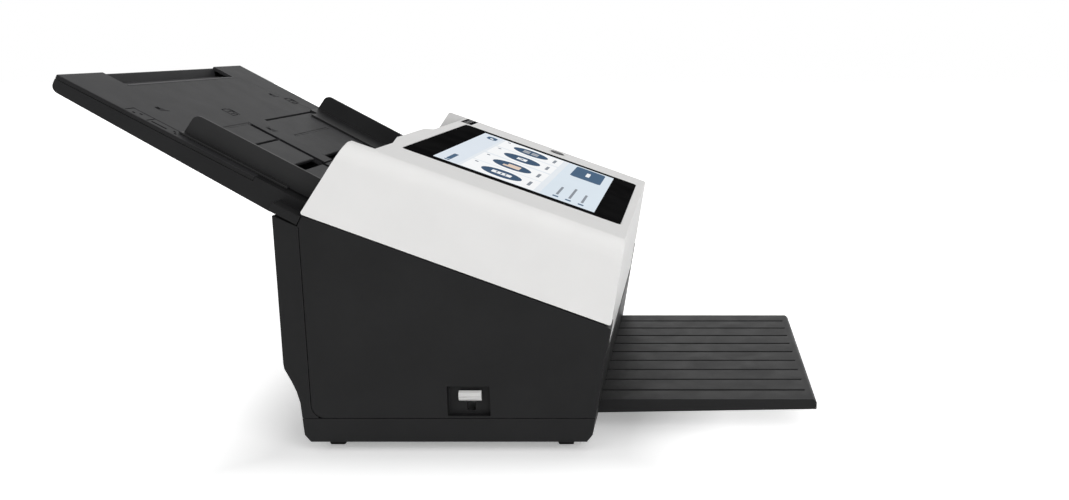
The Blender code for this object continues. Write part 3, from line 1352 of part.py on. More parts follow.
def make_liner():
    rise = PATH_UPPER_RISE
    plate = GUIDE_PLATE
    lip_top = MOUTH_TOP_Z - GAP
    outline = [
        path_line(GUIDE_FRONT_Y, rise),
        path_line(LINER_REAR_Y, rise),
        (LINER_LIP_Y, lip_top - plate),
        (LINER_LIP_Y, lip_top),
        (LINER_LIP_Y - plate, lip_top),
        path_line(LINER_REAR_Y - plate, rise + plate),
        path_line(GUIDE_FRONT_Y, rise + plate),
    ]
    liner = across("cover_liner", outline, -LINER_HALF_WIDTH, LINER_HALF_WIDTH)
    ear_high_x = HINGE_EAR_INNER_X + HINGE_EAR_WIDTH
    ear = arc((HINGE_Y, HINGE_Z), HINGE_EAR_RADIUS, 130, 285, 8)
    ear.append(path_line(GUIDE_FRONT_Y, rise + plate / 4))
    ear.append(path_line(GUIDE_FRONT_Y + HINGE_EAR_WIDTH, rise + plate / 4))
    ear.append(path_line(GUIDE_FRONT_Y + HINGE_EAR_WIDTH, rise + 2 * plate))
    for side in (-1, 1):
        low_x, high_x = sorted((side * HINGE_EAR_INNER_X, side * ear_high_x))
        join(liner, across("ear", ear, low_x, high_x))
        pin_hole = HINGE_PIN_RADIUS + GAP
        cut(liner, rod("ear_bore", low_x - CUT_OVERRUN, high_x + CUT_OVERRUN, pin_hole, (HINGE_Y, HINGE_Z)))
    for name, centre, radius, roll_width, roll_places, block_x in free_rollers():
        for side in (-1, 1):
            join(liner, bearing_block(centre, side * block_x))
        end_x = block_x + BLOCK_WIDTH
        cut(liner, rod("shaft_bore", -end_x, end_x, IDLER_SHAFT_RADIUS + GAP, centre, 16))
        half_roll = roll_width / 2 + TYRE_WINDOW_MARGIN / 2
        for x in roll_places:
            window_radius = radius + TYRE_WINDOW_MARGIN
            cut(liner, rod("roller_window", x - half_roll, x + half_roll, window_radius, centre))
    glass_half = SCAN_GLASS_WIDTH / 2 + GAP
    cut(liner, scan_window(glass_half, rise + plate + CUT_OVERRUN))
    keeper_rear_y = LATCH_NOSE_Y - RUNNING_GAP
    keeper_high_z = LATCH_NOSE_Z - RUNNING_GAP
    keeper_front_y = keeper_rear_y - KEEPER_LENGTH
    keeper_low = (-latch_inner_x() - LATCH_PLATE, keeper_front_y, keeper_high_z - KEEPER_HEIGHT)
    keeper_high = (-LINER_HALF_WIDTH + KEEPER_HEIGHT, keeper_rear_y, keeper_high_z)
    join(liner, box("keeper", keeper_low, keeper_high))
    riser_low_z = path_line(keeper_rear_y - KEEPER_LENGTH, rise + plate / 4)[1]
    riser_low = (-LINER_HALF_WIDTH, keeper_rear_y - KEEPER_LENGTH, riser_low_z)
    riser_high = (-LINER_HALF_WIDTH + KEEPER_HEIGHT, keeper_rear_y, keeper_high_z)
    join(liner, box("keeper_riser", riser_low, riser_high))
    for x in (-LINER_HALF_WIDTH, LINER_HALF_WIDTH - plate):
        rib_front = path_line(LINER_REAR_Y - 2 * plate, rise + plate / 2)
        rib_rear = path_line(LINER_REAR_Y, rise + plate / 2)
        rib_top = lip_top - plate
        rib = [rib_front, rib_rear, (LINER_LIP_Y - plate / 2, rib_top), (LINER_REAR_Y - 2 * plate, rib_top)]
        join(liner, across("rib", rib, x, x + plate))
    return finish(liner, "black_plastic")


def make_free_rollers():
    rollers = []
    for name, centre, radius, roll_width, roll_places, block_x in free_rollers():
        end_x = block_x + BLOCK_WIDTH / 2
        half = roll_width / 2
        stations = [(-end_x, IDLER_SHAFT_RADIUS)]
        for x in roll_places:
            stations += [
                (x - half, IDLER_SHAFT_RADIUS),
                (x - half, radius),
                (x + half, radius),
                (x + half, IDLER_SHAFT_RADIUS),
            ]
        stations.append((end_x, IDLER_SHAFT_RADIUS))
        look = "tyre_rubber" if name == "separation_roller" else "gear_plastic"
        rollers.append((finish(turned(name, stations, centre), look, smooth=True), centre))
    return rollers


def make_hinge_pins():
    low_x = HINGE_EAR_INNER_X
    high_x = FRAME_INNER_X + FRAME_PLATE + GAP
    right = rod("right_hinge_pin", low_x, high_x, HINGE_PIN_RADIUS, (HINGE_Y, HINGE_Z), 16)
    left = mirrored(right, "left_hinge_pin")
    finish(right, "shaft_steel", smooth=True)
    finish(left, "shaft_steel", smooth=True)


# Latch and knob
def latch_inner_x():
    return FRAME_INNER_X + FRAME_PLATE + GAP


def latch_pin():
    angle = math.radians(LATCH_SWING_DEG)
    return LATCH_PIVOT_Y + LATCH_ARM * math.cos(angle), LATCH_PIVOT_Z + LATCH_ARM * math.sin(angle)


def make_latch():
    pivot = (LATCH_PIVOT_Y, LATCH_PIVOT_Z)
    pin = latch_pin()
    low_x = -latch_inner_x() - LATCH_PLATE
    high_x = -latch_inner_x()
    half = LATCH_ARM_WIDTH / 2
    arm = hull(circle(pivot, LATCH_HUB_RADIUS, 16) + circle(pin, half, 16))
    latch = across("cover_latch", arm, low_x, high_x)
    stem_rear_y = LATCH_NOSE_Y + LATCH_ARM_WIDTH
    stem = [
        (LATCH_PIVOT_Y - half, LATCH_PIVOT_Z),
        (LATCH_PIVOT_Y + half, LATCH_PIVOT_Z),
        (stem_rear_y + half, LATCH_NOSE_Z),
        (stem_rear_y, LATCH_NOSE_Z + LATCH_NOSE_HEIGHT),
        (LATCH_NOSE_Y, LATCH_NOSE_Z + LATCH_NOSE_HEIGHT / 2),
        (LATCH_NOSE_Y, LATCH_NOSE_Z),
        (stem_rear_y - half, LATCH_NOSE_Z - LATCH_NOSE_HEIGHT / 4),
    ]
    join(latch, across("stem", stem, low_x, high_x))
    cut(latch, rod("bore", low_x - CUT_OVERRUN, high_x + CUT_OVERRUN, LATCH_STUD_RADIUS + GAP, pivot, 16))
    pin_end_x = -KNOB_ROD_X - KNOB_ROD_THICKNESS / 2
    join(latch, rod("pin", pin_end_x, high_x - LATCH_PLATE / 2, LATCH_PIN_RADIUS, pin, 16))
    set_origin(latch, (low_x, *pivot))
    return finish(latch, "grey_plastic")


def make_knob():
    outer_x = -HALF_WIDTH + RECESS_DEPTH - KNOB_BACK
    half_length = KNOB_LENGTH / 2
    front = KNOB_Y - half_length
    rear = KNOB_Y + half_length
    side_profile = [(outer_x, KNOB_BOTTOM_Z)]
    for height_share, proud_share in KNOB_RIDGE_SHARES:
        x = outer_x - (KNOB_PROUD - KNOB_BACK) * proud_share
        side_profile.append((x, KNOB_BOTTOM_Z + KNOB_HEIGHT * height_share))
    side_profile.append((outer_x, KNOB_BOTTOM_Z + KNOB_HEIGHT))
    knob = lengthwise("release_knob", side_profile, front, rear)
    stem_z = KNOB_BOTTOM_Z + KNOB_HEIGHT / 2
    half_stem = KNOB_STEM_WIDTH / 2
    rod_outer_x = -KNOB_ROD_X
    rod_inner_x = rod_outer_x + KNOB_ROD_THICKNESS
    stem_low = (outer_x - KNOB_BACK / 4, KNOB_Y - half_stem, stem_z - KNOB_STEM_HEIGHT / 2)
    stem_high = (rod_inner_x, KNOB_Y + half_stem, stem_z + KNOB_STEM_HEIGHT / 2)
    join(knob, box("stem", stem_low, stem_high))
    pin_y, pin_z = latch_pin()
    slot_half = LATCH_PIN_RADIUS + GAP
    fork_low_z = pin_z - slot_half - FORK_WALL
    fork_high_z = pin_z + slot_half + FORK_WALL
    lever_low = (rod_outer_x, KNOB_Y - half_stem, stem_z - KNOB_STEM_HEIGHT / 2)
    lever_high = (rod_inner_x, KNOB_Y + half_stem, fork_low_z + FORK_WALL / 2)
    join(knob, box("lever", lever_low, lever_high))
    fork_low = (rod_outer_x, pin_y - FORK_LENGTH / 2, fork_low_z)
    fork_high = (rod_inner_x, pin_y + FORK_LENGTH / 2, fork_high_z)
    fork = box("fork", fork_low, fork_high)
    slot_low = (rod_outer_x - CUT_OVERRUN, pin_y - FORK_LENGTH / 2 + FORK_WALL, pin_z - slot_half)
    slot_high = (rod_inner_x + CUT_OVERRUN, pin_y + FORK_LENGTH / 2 - FORK_WALL, pin_z + slot_half)
    cut(fork, box("fork_slot", slot_low, slot_high))
    join(knob, fork)
    set_origin(knob, (outer_x, KNOB_Y, stem_z))
    return finish(knob, "grey_plastic")


# Board and sockets at the rear
def socket_sizes():
    return (
        (NETWORK_X, NETWORK_WIDTH, NETWORK_HEIGHT),
        (USB_X, USB_WIDTH, USB_HEIGHT),
        (POWER_JACK_X, POWER_JACK_WIDTH, POWER_JACK_HEIGHT),
    )


def make_socket(name, x, width, height):
    """Box with an open mouth that faces the rear."""
    low = (x - width / 2, BOARD_Y + BOARD_THICKNESS + GAP, SOCKET_CENTRE_Z - height / 2)
    high = (x + width / 2, REAR_WALL_Y - GAP, SOCKET_CENTRE_Z + height / 2)
    socket = box(name, low, high)
    room_low = (low[0] + SOCKET_WALL, high[1] - SOCKET_DEPTH, low[2] + SOCKET_WALL)
    room_high = (high[0] - SOCKET_WALL, high[1] + CUT_OVERRUN, high[2] - SOCKET_WALL)
    cut(socket, box("socket_room", room_low, room_high))
    return socket


def make_electronics():
    low = (BOARD_LEFT_X, BOARD_Y, BOARD_BOTTOM_Z)
    high = (BOARD_RIGHT_X, BOARD_Y + BOARD_THICKNESS, BOARD_TOP_Z)
    finish(box("main_board", low, high), "board_green")
    finish(make_socket("network_port", NETWORK_X, NETWORK_WIDTH, NETWORK_HEIGHT), "socket_metal")
    finish(make_socket("usb_port", USB_X, USB_WIDTH, USB_HEIGHT), "socket_metal")
    jack = make_socket("power_jack", POWER_JACK_X, POWER_JACK_WIDTH, POWER_JACK_HEIGHT)
    pin_y = REAR_WALL_Y - GAP - SOCKET_DEPTH
    pin = circle((POWER_JACK_X, SOCKET_CENTRE_Z), SOCKET_WALL, 12)
    join(jack, lengthwise("jack_pin", pin, pin_y - SOCKET_WALL, REAR_WALL_Y - SOCKET_WALL * 2))
    finish(jack, "dark_plastic")


# Output tray
def make_output_tray():
    tilt_start = front_y(OUTPUT_UNDERSIDE_Z)
    outline = [
        (OUTPUT_END_Y, OUTPUT_TOP_Z - OUTPUT_END_RADIUS),
        (OUTPUT_END_Y + OUTPUT_END_RADIUS, OUTPUT_TOP_Z),
        (OUTPUT_REAR_Y, OUTPUT_TOP_Z),
        (OUTPUT_REAR_Y, OUTPUT_UNDERSIDE_Z),
        (tilt_start, OUTPUT_UNDERSIDE_Z),
        (OUTPUT_END_Y, OUTPUT_END_UNDERSIDE_Z),
    ]
    tray = across("output_tray", outline, -OUTPUT_HALF_WIDTH, OUTPUT_HALF_WIDTH)
    for index in range(OUTPUT_GROOVES):
        x = (index - (OUTPUT_GROOVES - 1) / 2) * OUTPUT_GROOVE_PITCH
        groove_end_y = OUTPUT_END_Y + OUTPUT_GROOVE_END_MARGIN
        low = (x - OUTPUT_GROOVE_WIDTH / 2, groove_end_y, OUTPUT_TOP_Z - OUTPUT_GROOVE_DEPTH)
        high = (x + OUTPUT_GROOVE_WIDTH / 2, OUTPUT_REAR_Y + CUT_OVERRUN, OUTPUT_TOP_Z + CUT_OVERRUN)
        cut(tray, box("groove", low, high))
    set_origin(tray, (0, OUTPUT_END_Y, OUTPUT_UNDERSIDE_Z))
    return finish(tray, "tray_plastic")


# Input tray group, made in the tray's own frame: (x, along, height)
def shell_bottom(along):
    slope = (TRAY_ROOT_THICKNESS - TRAY_END_THICKNESS) / (TRAY_LENGTH - TRAY_ROOT_ALONG)
    return -TRAY_END_THICKNESS - (TRAY_LENGTH - along) * slope


def make_tray_plate():
    outline = rectangle((-TRAY_HALF_WIDTH, 0), (TRAY_HALF_WIDTH, TRAY_LENGTH))
    plate = upright("tray_plate", outline, -TRAY_PLATE, 0)
    grip_low = (-GRIP_HALF_WIDTH, GRIP_START_ALONG, -TRAY_PLATE - CUT_OVERRUN)
    grip_high = (GRIP_HALF_WIDTH, TRAY_LENGTH + CUT_OVERRUN, CUT_OVERRUN)
    cut(plate, box("grip_notch", grip_low, grip_high))
    half_slot = TRAY_SLOT_WIDTH / 2
    for along in guide_slot_places():
        for side in (-1, 1):
            inner_x = TRAY_SLOT_LEFT_INNER_X if side < 0 else TRAY_SLOT_RIGHT_INNER_X
            low_x, high_x = sorted((side * inner_x, side * TRAY_SLOT_OUTER_X))
            low = (low_x, along - half_slot, -TRAY_PLATE - CUT_OVERRUN)
            high = (high_x, along + half_slot, CUT_OVERRUN)
            cut(plate, box("guide_slot", low, high))
    half_groove = TRAY_SPINE_GROOVE_WIDTH / 2
    groove_low = (TRAY_SPINE_GROOVE_X - half_groove, -CUT_OVERRUN, -TRAY_SPINE_GROOVE_DEPTH)
    groove_high = (TRAY_SPINE_GROOVE_X + half_groove, TRAY_SPINE_GROOVE_ALONG, CUT_OVERRUN)
    cut(plate, box("spine_groove", groove_low, groove_high))
    half = TRAY_PIN_SLOT_WIDTH / 2
    half_length = TRAY_PIN_SLOT_LENGTH / 2
    for width_share, length_share in TRAY_PIN_SLOT_SHARES:
        x = width_share * TRAY_HALF_WIDTH
        along = length_share * TRAY_LENGTH
        low = (x - half, along - half_length, -TRAY_PLATE - CUT_OVERRUN)
        high = (x + half, along + half_length, CUT_OVERRUN)
        cut(plate, box("pin_slot", low, high))
    return finish(plate, "tray_plastic")


def guide_slot_places():
    pitch_radius = RACK_MODULE * RACK_PINION_TEETH / 2
    reach = pitch_radius + RACK_MODULE * DEDENDUM_SHARE / 2 + RACK_BODY_WIDTH / 2
    return RACK_CENTRE_ALONG - reach, RACK_CENTRE_ALONG + reach


def make_tray_shell():
    top = -TRAY_PLATE - GAP
    length = TRAY_LENGTH
    outline = [
        (TRAY_ROOT_ALONG, top),
        (length, top),
        (length, -TRAY_END_THICKNESS + TRAY_END_RADIUS),
    ]
    corner = (length - TRAY_END_RADIUS, -TRAY_END_THICKNESS + TRAY_END_RADIUS)
    outline += arc(corner, TRAY_END_RADIUS, -15, -75, 4)
    outline.append((length - TRAY_END_RADIUS, shell_bottom(length - TRAY_END_RADIUS)))
    outline.append((TRAY_ROOT_ALONG, shell_bottom(TRAY_ROOT_ALONG)))
    shell = across("tray_shell", outline, -TRAY_HALF_WIDTH, TRAY_HALF_WIDTH)
    room_x = TRAY_HALF_WIDTH - TRAY_SHELL_WALL
    start = SHELL_FRONT_ALONG + TRAY_SHELL_WALL
    end = length - TRAY_SHELL_WALL
    floor = TRAY_SHELL_WALL
    room = [
        (start, shell_bottom(start) + floor),
        (end, shell_bottom(end) + floor),
        (end, CUT_OVERRUN),
        (start, CUT_OVERRUN),
    ]
    cut(shell, across("shell_room", room, -room_x, room_x))
    opening_low_z = shell_bottom(TRAY_ROOT_ALONG) - CUT_OVERRUN
    opening_low = (-CHUTE_HALF_WIDTH - GAP, TRAY_ROOT_ALONG - CUT_OVERRUN, opening_low_z)
    opening_high = (CHUTE_HALF_WIDTH + GAP, SHELL_FRONT_ALONG, CUT_OVERRUN)
    cut(shell, box("chute_room", opening_low, opening_high))
    for side in (-1, 1):
        low_x, high_x = sorted((side * CHEEK_INNER_X, side * TRAY_HALF_WIDTH))
        front_low = (low_x, CHEEK_FRONT_ALONG, -TRAY_STEP_HEIGHT)
        front_high = (high_x, TRAY_ROOT_ALONG + TRAY_SHELL_WALL, top)
        join(shell, box("cheek", front_low, front_high))
        rail_low = (low_x, CHEEK_FRONT_ALONG, top - TRAY_SHELL_WALL)
        rail_high = (high_x, -GAP, 0)
        join(shell, box("cheek_cap", rail_low, rail_high))
        ear_x = HALF_WIDTH - EAR_SIDE_CLEARANCE
        low_x, high_x = sorted((side * (TRAY_HALF_WIDTH - TRAY_SHELL_WALL), side * ear_x))
        ear_low = (low_x, EAR_FRONT_ALONG, -TRAY_STEP_HEIGHT)
        ear_high = (high_x, EAR_REAR_ALONG, -EAR_TOP_DEPTH)
        join(shell, box("ear", ear_low, ear_high))
        rail_x = EXTENSION_HALF_WIDTH - EXTENSION_RAIL_WIDTH / 2
        low_x, high_x = sorted((side * rail_x, side * (rail_x + EXTENSION_RAIL_WIDTH)))
        ledge_top = -EXTENSION_TOP_DEPTH - EXTENSION_THICKNESS - GAP
        ledge = [
            (EXTENSION_START_ALONG, shell_bottom(EXTENSION_START_ALONG) + floor / 2),
            (end + floor / 2, shell_bottom(end) + floor / 2),
            (end + floor / 2, ledge_top),
            (EXTENSION_START_ALONG, ledge_top),
        ]
        join(shell, across("extension_rail", ledge, low_x, high_x))
    mouth_x = GRIP_HALF_WIDTH
    mouth_low = (-mouth_x, end - CUT_OVERRUN, -EXTENSION_TOP_DEPTH - EXTENSION_THICKNESS - GAP)
    mouth_high = (mouth_x, length + CUT_OVERRUN, CUT_OVERRUN)
    cut(shell, box("extension_mouth", mouth_low, mouth_high))
    stud_low = shell_bottom(RACK_CENTRE_ALONG) + floor / 2
    centre = (0, RACK_CENTRE_ALONG)
    stud = upright("pinion_stud", circle(centre, RACK_PIVOT_RADIUS * 2, 16), stud_low, extension_floor())
    pin = upright("pinion_pin", circle(centre, RACK_PIVOT_RADIUS, 16), stud_low, -RACK_TOP_DEPTH)
    join(stud, pin)
    join(shell, stud)
    return finish(shell, "black_plastic")


def extension_floor():
    return -RACK_TOP_DEPTH - RACK_THICKNESS - GAP


def make_extension():
    """Sliding plate with a finger hollow and a grip bar across its rear end."""
    half = EXTENSION_HALF_WIDTH
    end = TRAY_LENGTH - GAP
    top = -EXTENSION_TOP_DEPTH
    bottom = top - EXTENSION_THICKNESS
    hollow_start = GRIP_START_ALONG + GAP
    bar_foot = TRAY_LENGTH - GRIP_BAR_LENGTH
    plate = box("tray_extension", (-half, EXTENSION_START_ALONG, bottom), (half, hollow_start + GAP, top))
    outline = [
        (hollow_start, bottom),
        (end, bottom),
        (end, -GRIP_BAR_DROP),
        (end - GRIP_BAR_RIDGE, -GRIP_BAR_DROP),
        (bar_foot, -GRIP_DEPTH),
        (hollow_start, -GAP),
    ]
    grip_half = GRIP_HALF_WIDTH - GAP
    join(plate, across("grip", outline, -grip_half, grip_half))
    slot_half = RACK_PIVOT_RADIUS * 2 + RUNNING_GAP
    slot_low = (-slot_half, EXTENSION_START_ALONG - CUT_OVERRUN, top - EXTENSION_THICKNESS - CUT_OVERRUN)
    slot_high = (slot_half, RACK_CENTRE_ALONG + slot_half, top + CUT_OVERRUN)
    cut(plate, box("stud_slot", slot_low, slot_high))
    return finish(plate, "tray_plastic")


def rack_teeth(centre_along, facing, first_x):
    """Rack outline in (x, along); its teeth face the pinion and one is centred on first_x."""
    pitch = RACK_PITCH
    pitch_line = centre_along
    points = []
    for tooth in range(RACK_TEETH):
        x = first_x + tooth * pitch
        root = pitch_line - facing * RACK_MODULE * DEDENDUM_SHARE
        tip = pitch_line + facing * RACK_MODULE * ADDENDUM_SHARE
        points.append((x - pitch * ROOT_HALF_SHARE, root))
        points.append((x - pitch * TIP_HALF_SHARE, tip))
        points.append((x + pitch * TIP_HALF_SHARE, tip))
        points.append((x + pitch * ROOT_HALF_SHARE, root))
    return points


def make_side_guide(name, side):
    """side is -1 for the left guide; its rack runs in front of the pinion."""
    along_front, along_rear = SIDE_GUIDE_FRONT_ALONG, SIDE_GUIDE_REAR_ALONG
    low = GAP
    high = SIDE_GUIDE_HEIGHT
    profile = [
        (along_front, low),
        (along_rear, low),
        (along_rear - SIDE_GUIDE_REAR_LEAN, high - SIDE_GUIDE_RADIUS),
    ]
    corner = (along_rear - SIDE_GUIDE_REAR_LEAN - SIDE_GUIDE_RADIUS, high - SIDE_GUIDE_RADIUS)
    profile += arc(corner, SIDE_GUIDE_RADIUS, 15, 90, 5)
    profile.append((along_front, high))
    outer = side * SIDE_GUIDE_X
    inner = side * (SIDE_GUIDE_X - SIDE_GUIDE_WALL)
    low_x, high_x = sorted((outer, inner))
    guide = across(name, profile, low_x, high_x)
    foot_top = low + SIDE_GUIDE_FOOT_THICKNESS
    wall_x = side * (SIDE_GUIDE_X - SIDE_GUIDE_WALL / 2)
    palm_x = side * (SIDE_GUIDE_X - SIDE_GUIDE_PALM_WIDTH)
    foot_x = side * (SIDE_GUIDE_X - SIDE_GUIDE_FOOT_WIDTH)
    foot = [
        (wall_x, along_front),
        (palm_x, along_front),
        (palm_x, SIDE_GUIDE_PALM_REAR_ALONG),
        (foot_x, SIDE_GUIDE_PALM_REAR_ALONG),
        (foot_x, along_rear),
        (wall_x, along_rear),
    ]
    join(guide, upright("foot", foot, low, foot_top))
    tab_x = side * SIDE_GUIDE_TAB_X
    half_tab = SIDE_GUIDE_TAB_LENGTH / 2
    rack_top = -RACK_TOP_DEPTH
    rack_low = rack_top - RACK_THICKNESS
    tab_half_width = SIDE_GUIDE_TAB_WIDTH / 2
    slot_front, slot_rear = guide_slot_places()
    along = slot_front if side < 0 else slot_rear
    tab_low = (tab_x - half_tab, along - tab_half_width, rack_top - RACK_THICKNESS / 2)
    tab_high = (tab_x + half_tab, along + tab_half_width, (low + foot_top) / 2)
    join(guide, box("tab", tab_low, tab_high))
    pitch = RACK_PITCH
    pitch_radius = RACK_MODULE * RACK_PINION_TEETH / 2
    facing = 1 if side < 0 else -1
    pitch_line = RACK_CENTRE_ALONG - facing * pitch_radius
    back = pitch_line - facing * (RACK_MODULE * DEDENDUM_SHARE + RACK_BODY_WIDTH)
    if side < 0:
        teeth = rack_teeth(pitch_line, facing, pitch / 2 - (RACK_TEETH - 2) * pitch)
        start_x = tab_x - half_tab
        end_x = teeth[-1][0]
        outline = [(start_x, back), (start_x, teeth[0][1])] + teeth + [(end_x, back)]
    else:
        teeth = rack_teeth(pitch_line, facing, pitch / 2 - 2 * pitch)
        start_x = tab_x + half_tab
        end_x = teeth[0][0]
        outline = [(end_x, back)] + teeth + [(start_x, teeth[-1][1]), (start_x, back)]
    join(guide, upright("rack", outline, rack_low, rack_top))
    return finish(guide, "guide_plastic")


def make_guide_pinion():
    outline = gear_outline(RACK_PINION_TEETH, RACK_MODULE, (0, 0), 90)
    top = 0.0
    pinion = upright("guide_pinion", outline, top - RACK_THICKNESS, top)
    bore = upright("bore", circle((0, 0), RACK_PIVOT_BORE, 16), top - 2 * RACK_THICKNESS, top + CUT_OVERRUN)
    cut(pinion, bore)
    pinion.location = (0, RACK_CENTRE_ALONG, -RACK_TOP_DEPTH)
    return finish(pinion, "gear_plastic")


def make_input_tray():
    frame = pivot_frame("input_tray_frame", (0, TRAY_ORIGIN_Y, TRAY_ORIGIN_Z), TRAY_ANGLE)
    plate = make_tray_plate()
    shell = make_tray_shell()
    extension = make_extension()
    left = make_side_guide("left_guide", -1)
    right = make_side_guide("right_guide", 1)
    pinion = make_guide_pinion()
    for piece in (plate, shell, extension, left, right, pinion):
        piece.parent = frame


def make_cover():
    hinge = (0, HINGE_Y, HINGE_Z)
    hinge_frame = pivot_frame("cover_hinge", hinge)
    shell = make_cover_shell()
    liner = make_liner()
    upper_unit, upper_glass = make_scan_unit("upper_scan_unit", "upper_scan_glass", 1)
    for piece in (shell, liner, upper_unit, upper_glass):
        hang(piece, hinge_frame, hinge)
    top = top_frame()
    make_top_pieces(top)
    top.parent = hinge_frame
    top.location = Vector(top.location) - Vector(hinge)
    for roller, centre in make_free_rollers():
        set_origin(roller, (0, *centre))
        roller.parent = hinge_frame
        roller.location = Vector(roller.location) - Vector(hinge)


def make_base():
    make_base_pan()
    make_left_cover()
    make_right_cover()
    make_rear_cover()
    make_front_cover()
    make_feet()
    make_frames()
    make_lower_guide()
    make_feed_chute()
    make_scan_unit("lower_scan_unit", "lower_scan_glass", -1)
    make_hinge_pins()
    make_electronics()


make_base()
make_driven_rollers()
make_drive()
make_latch()
make_knob()
make_output_tray()
make_cover()
make_input_tray()
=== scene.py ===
"""Looks of a desktop document scanner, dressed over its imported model. Lengths are in metres."""
import json
import math

import bmesh
import bpy
from mathutils import Matrix, Vector
from mathutils.bvhtree import BVHTree


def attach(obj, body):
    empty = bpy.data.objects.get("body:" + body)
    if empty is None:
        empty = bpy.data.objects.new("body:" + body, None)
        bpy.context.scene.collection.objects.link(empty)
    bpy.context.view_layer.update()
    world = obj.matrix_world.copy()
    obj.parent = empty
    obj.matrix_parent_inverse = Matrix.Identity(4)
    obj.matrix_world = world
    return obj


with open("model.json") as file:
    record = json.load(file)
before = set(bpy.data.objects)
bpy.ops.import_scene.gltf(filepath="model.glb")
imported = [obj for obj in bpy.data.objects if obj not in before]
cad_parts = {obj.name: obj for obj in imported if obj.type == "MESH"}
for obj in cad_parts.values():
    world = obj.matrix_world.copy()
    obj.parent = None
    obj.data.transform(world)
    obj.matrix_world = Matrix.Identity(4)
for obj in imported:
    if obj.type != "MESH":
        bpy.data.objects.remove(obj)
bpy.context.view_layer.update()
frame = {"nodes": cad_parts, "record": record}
NODES = frame["nodes"]

UP = (0, 0, 1)
DOWN = (0, 0, -1)
REARWARD = (0, 1, 0)
FORWARD = (0, -1, 0)
RAY_REACH = 0.3
RAY_BELOW = -0.1


def sloping(origin, slope):
    """Place of a plane that rises from origin to the rear."""
    return Matrix.Translation(origin) @ Matrix.Rotation(math.atan(slope), 4, "X")


# Planes of the cover's top and of the input tray, as the CAD has them
TOP_PLACE = sloping((0, -0.1081, 0.1320), 0.3592)
TRAY_PLACE = sloping((0, 0.1132, 0.1685), 0.5425)

# Materials: their noises, and the range of each noise that is stretched to its full effect
CLOUDS = {"scale": 28.0, "detail": 4.0}
CLOUD_RANGE = (0.35, 0.65)
HANDLING = {"scale": 55.0, "detail": 5.0, "distortion": 0.4}
HANDLING_RANGE = (0.3, 0.7)
PATCHES = {"scale": 160.0, "detail": 4.0}
PATCH_RANGE = (0.42, 0.62)
SMEARS = {"scale": 35.0, "detail": 3.0}
SMEAR_RANGE = (0.35, 0.65)
SMEAR_SHARES = (0.7, 1.3)
LIT_CLOUDS = {"scale": 40.0, "detail": 2.0}
GRAIN_DETAIL = 2.0
GRAIN_DISTANCE = 0.0002
# Wear and painted highlight on edges grow as the rounded normal turns away from the face, by their dot
# product
EDGE_WEAR_AND_HIGHLIGHT_RADIUS = 0.0006
EDGE_WEAR_AND_HIGHLIGHT_RANGE = (0.98, 0.80)
EDGE_WEAR_AND_HIGHLIGHT_PALENESS = 1.8
EDGE_WEAR_AND_HIGHLIGHT_LIFT = 0.02
MIRROR_ROUGHNESS = 0.14
LIT_PRINT_SHARE = 0.25
LIT_DIMMEST_SHARE = 0.97
WHITE = (1, 1, 1, 1)


def mix_colours(tree, factor, first, second):
    """Colour between two, each a socket or three numbers."""
    mix = tree.nodes.new("ShaderNodeMix")
    mix.data_type = "RGBA"
    for socket, colour in ((mix.inputs["A"], first), (mix.inputs["B"], second)):
        if isinstance(colour, tuple):
            socket.default_value = (*colour, 1)
        else:
            tree.links.new(colour, socket)
    tree.links.new(factor, mix.inputs["Factor"])
    return mix.outputs["Result"]


def noise(tree, scale, detail, stretch=None, distortion=0.0):
    """Noise fixed to the object, stretched along its axes where asked."""
    coordinates = tree.nodes.new("ShaderNodeTexCoord").outputs["Object"]
    if stretch:
        mapping = tree.nodes.new("ShaderNodeMapping")
        mapping.inputs["Scale"].default_value = stretch
        tree.links.new(coordinates, mapping.inputs["Vector"])
        coordinates = mapping.outputs["Vector"]
    texture = tree.nodes.new("ShaderNodeTexNoise")
    texture.inputs["Scale"].default_value = scale
    texture.inputs["Detail"].default_value = detail
    texture.inputs["Distortion"].default_value = distortion
    tree.links.new(coordinates, texture.inputs["Vector"])
    return texture.outputs["Fac"]


def remap(tree, value, from_low, from_high, to_low, to_high):
    """Value carried from one range to another, and held inside it."""
    node = tree.nodes.new("ShaderNodeMapRange")
    node.inputs["From Min"].default_value = from_low
    node.inputs["From Max"].default_value = from_high
    node.inputs["To Min"].default_value = to_low
    node.inputs["To Max"].default_value = to_high
    tree.links.new(value, node.inputs["Value"])
    return node.outputs["Result"]


def combine(tree, operation, first, second):
    """Math node of two values, each a socket or a number."""
    node = tree.nodes.new("ShaderNodeMath")
    node.operation = operation
    for socket, value in zip(node.inputs, (first, second)):
        if isinstance(value, (int, float)):
            socket.default_value = value
        else:
            tree.links.new(value, socket)
    return node.outputs["Value"]


def worn_and_highlit_edges(tree, tint, colour, share):
    """The tint with broken paler lines along the edges: wear, and painted highlight where the edges catch
    light.
    """
    rounding = tree.nodes.new("ShaderNodeBevel")
    rounding.samples = 4
    rounding.inputs["Radius"].default_value = EDGE_WEAR_AND_HIGHLIGHT_RADIUS
    facing = tree.nodes.new("ShaderNodeVectorMath")
    facing.operation = "DOT_PRODUCT"
    tree.links.new(rounding.outputs["Normal"], facing.inputs[0])
    tree.links.new(tree.nodes.new("ShaderNodeNewGeometry").outputs["Normal"], facing.inputs[1])
    wear_and_highlight = remap(tree, facing.outputs["Value"], *EDGE_WEAR_AND_HIGHLIGHT_RANGE, 0, share)
    patches = remap(tree, noise(tree, **PATCHES), *PATCH_RANGE, 0, 1)
    pale = tuple(min(1.0, EDGE_WEAR_AND_HIGHLIGHT_LIFT + EDGE_WEAR_AND_HIGHLIGHT_PALENESS * channel) for channel in colour)
    return mix_colours(tree, combine(tree, "MULTIPLY", wear_and_highlight, patches), tint, pale)


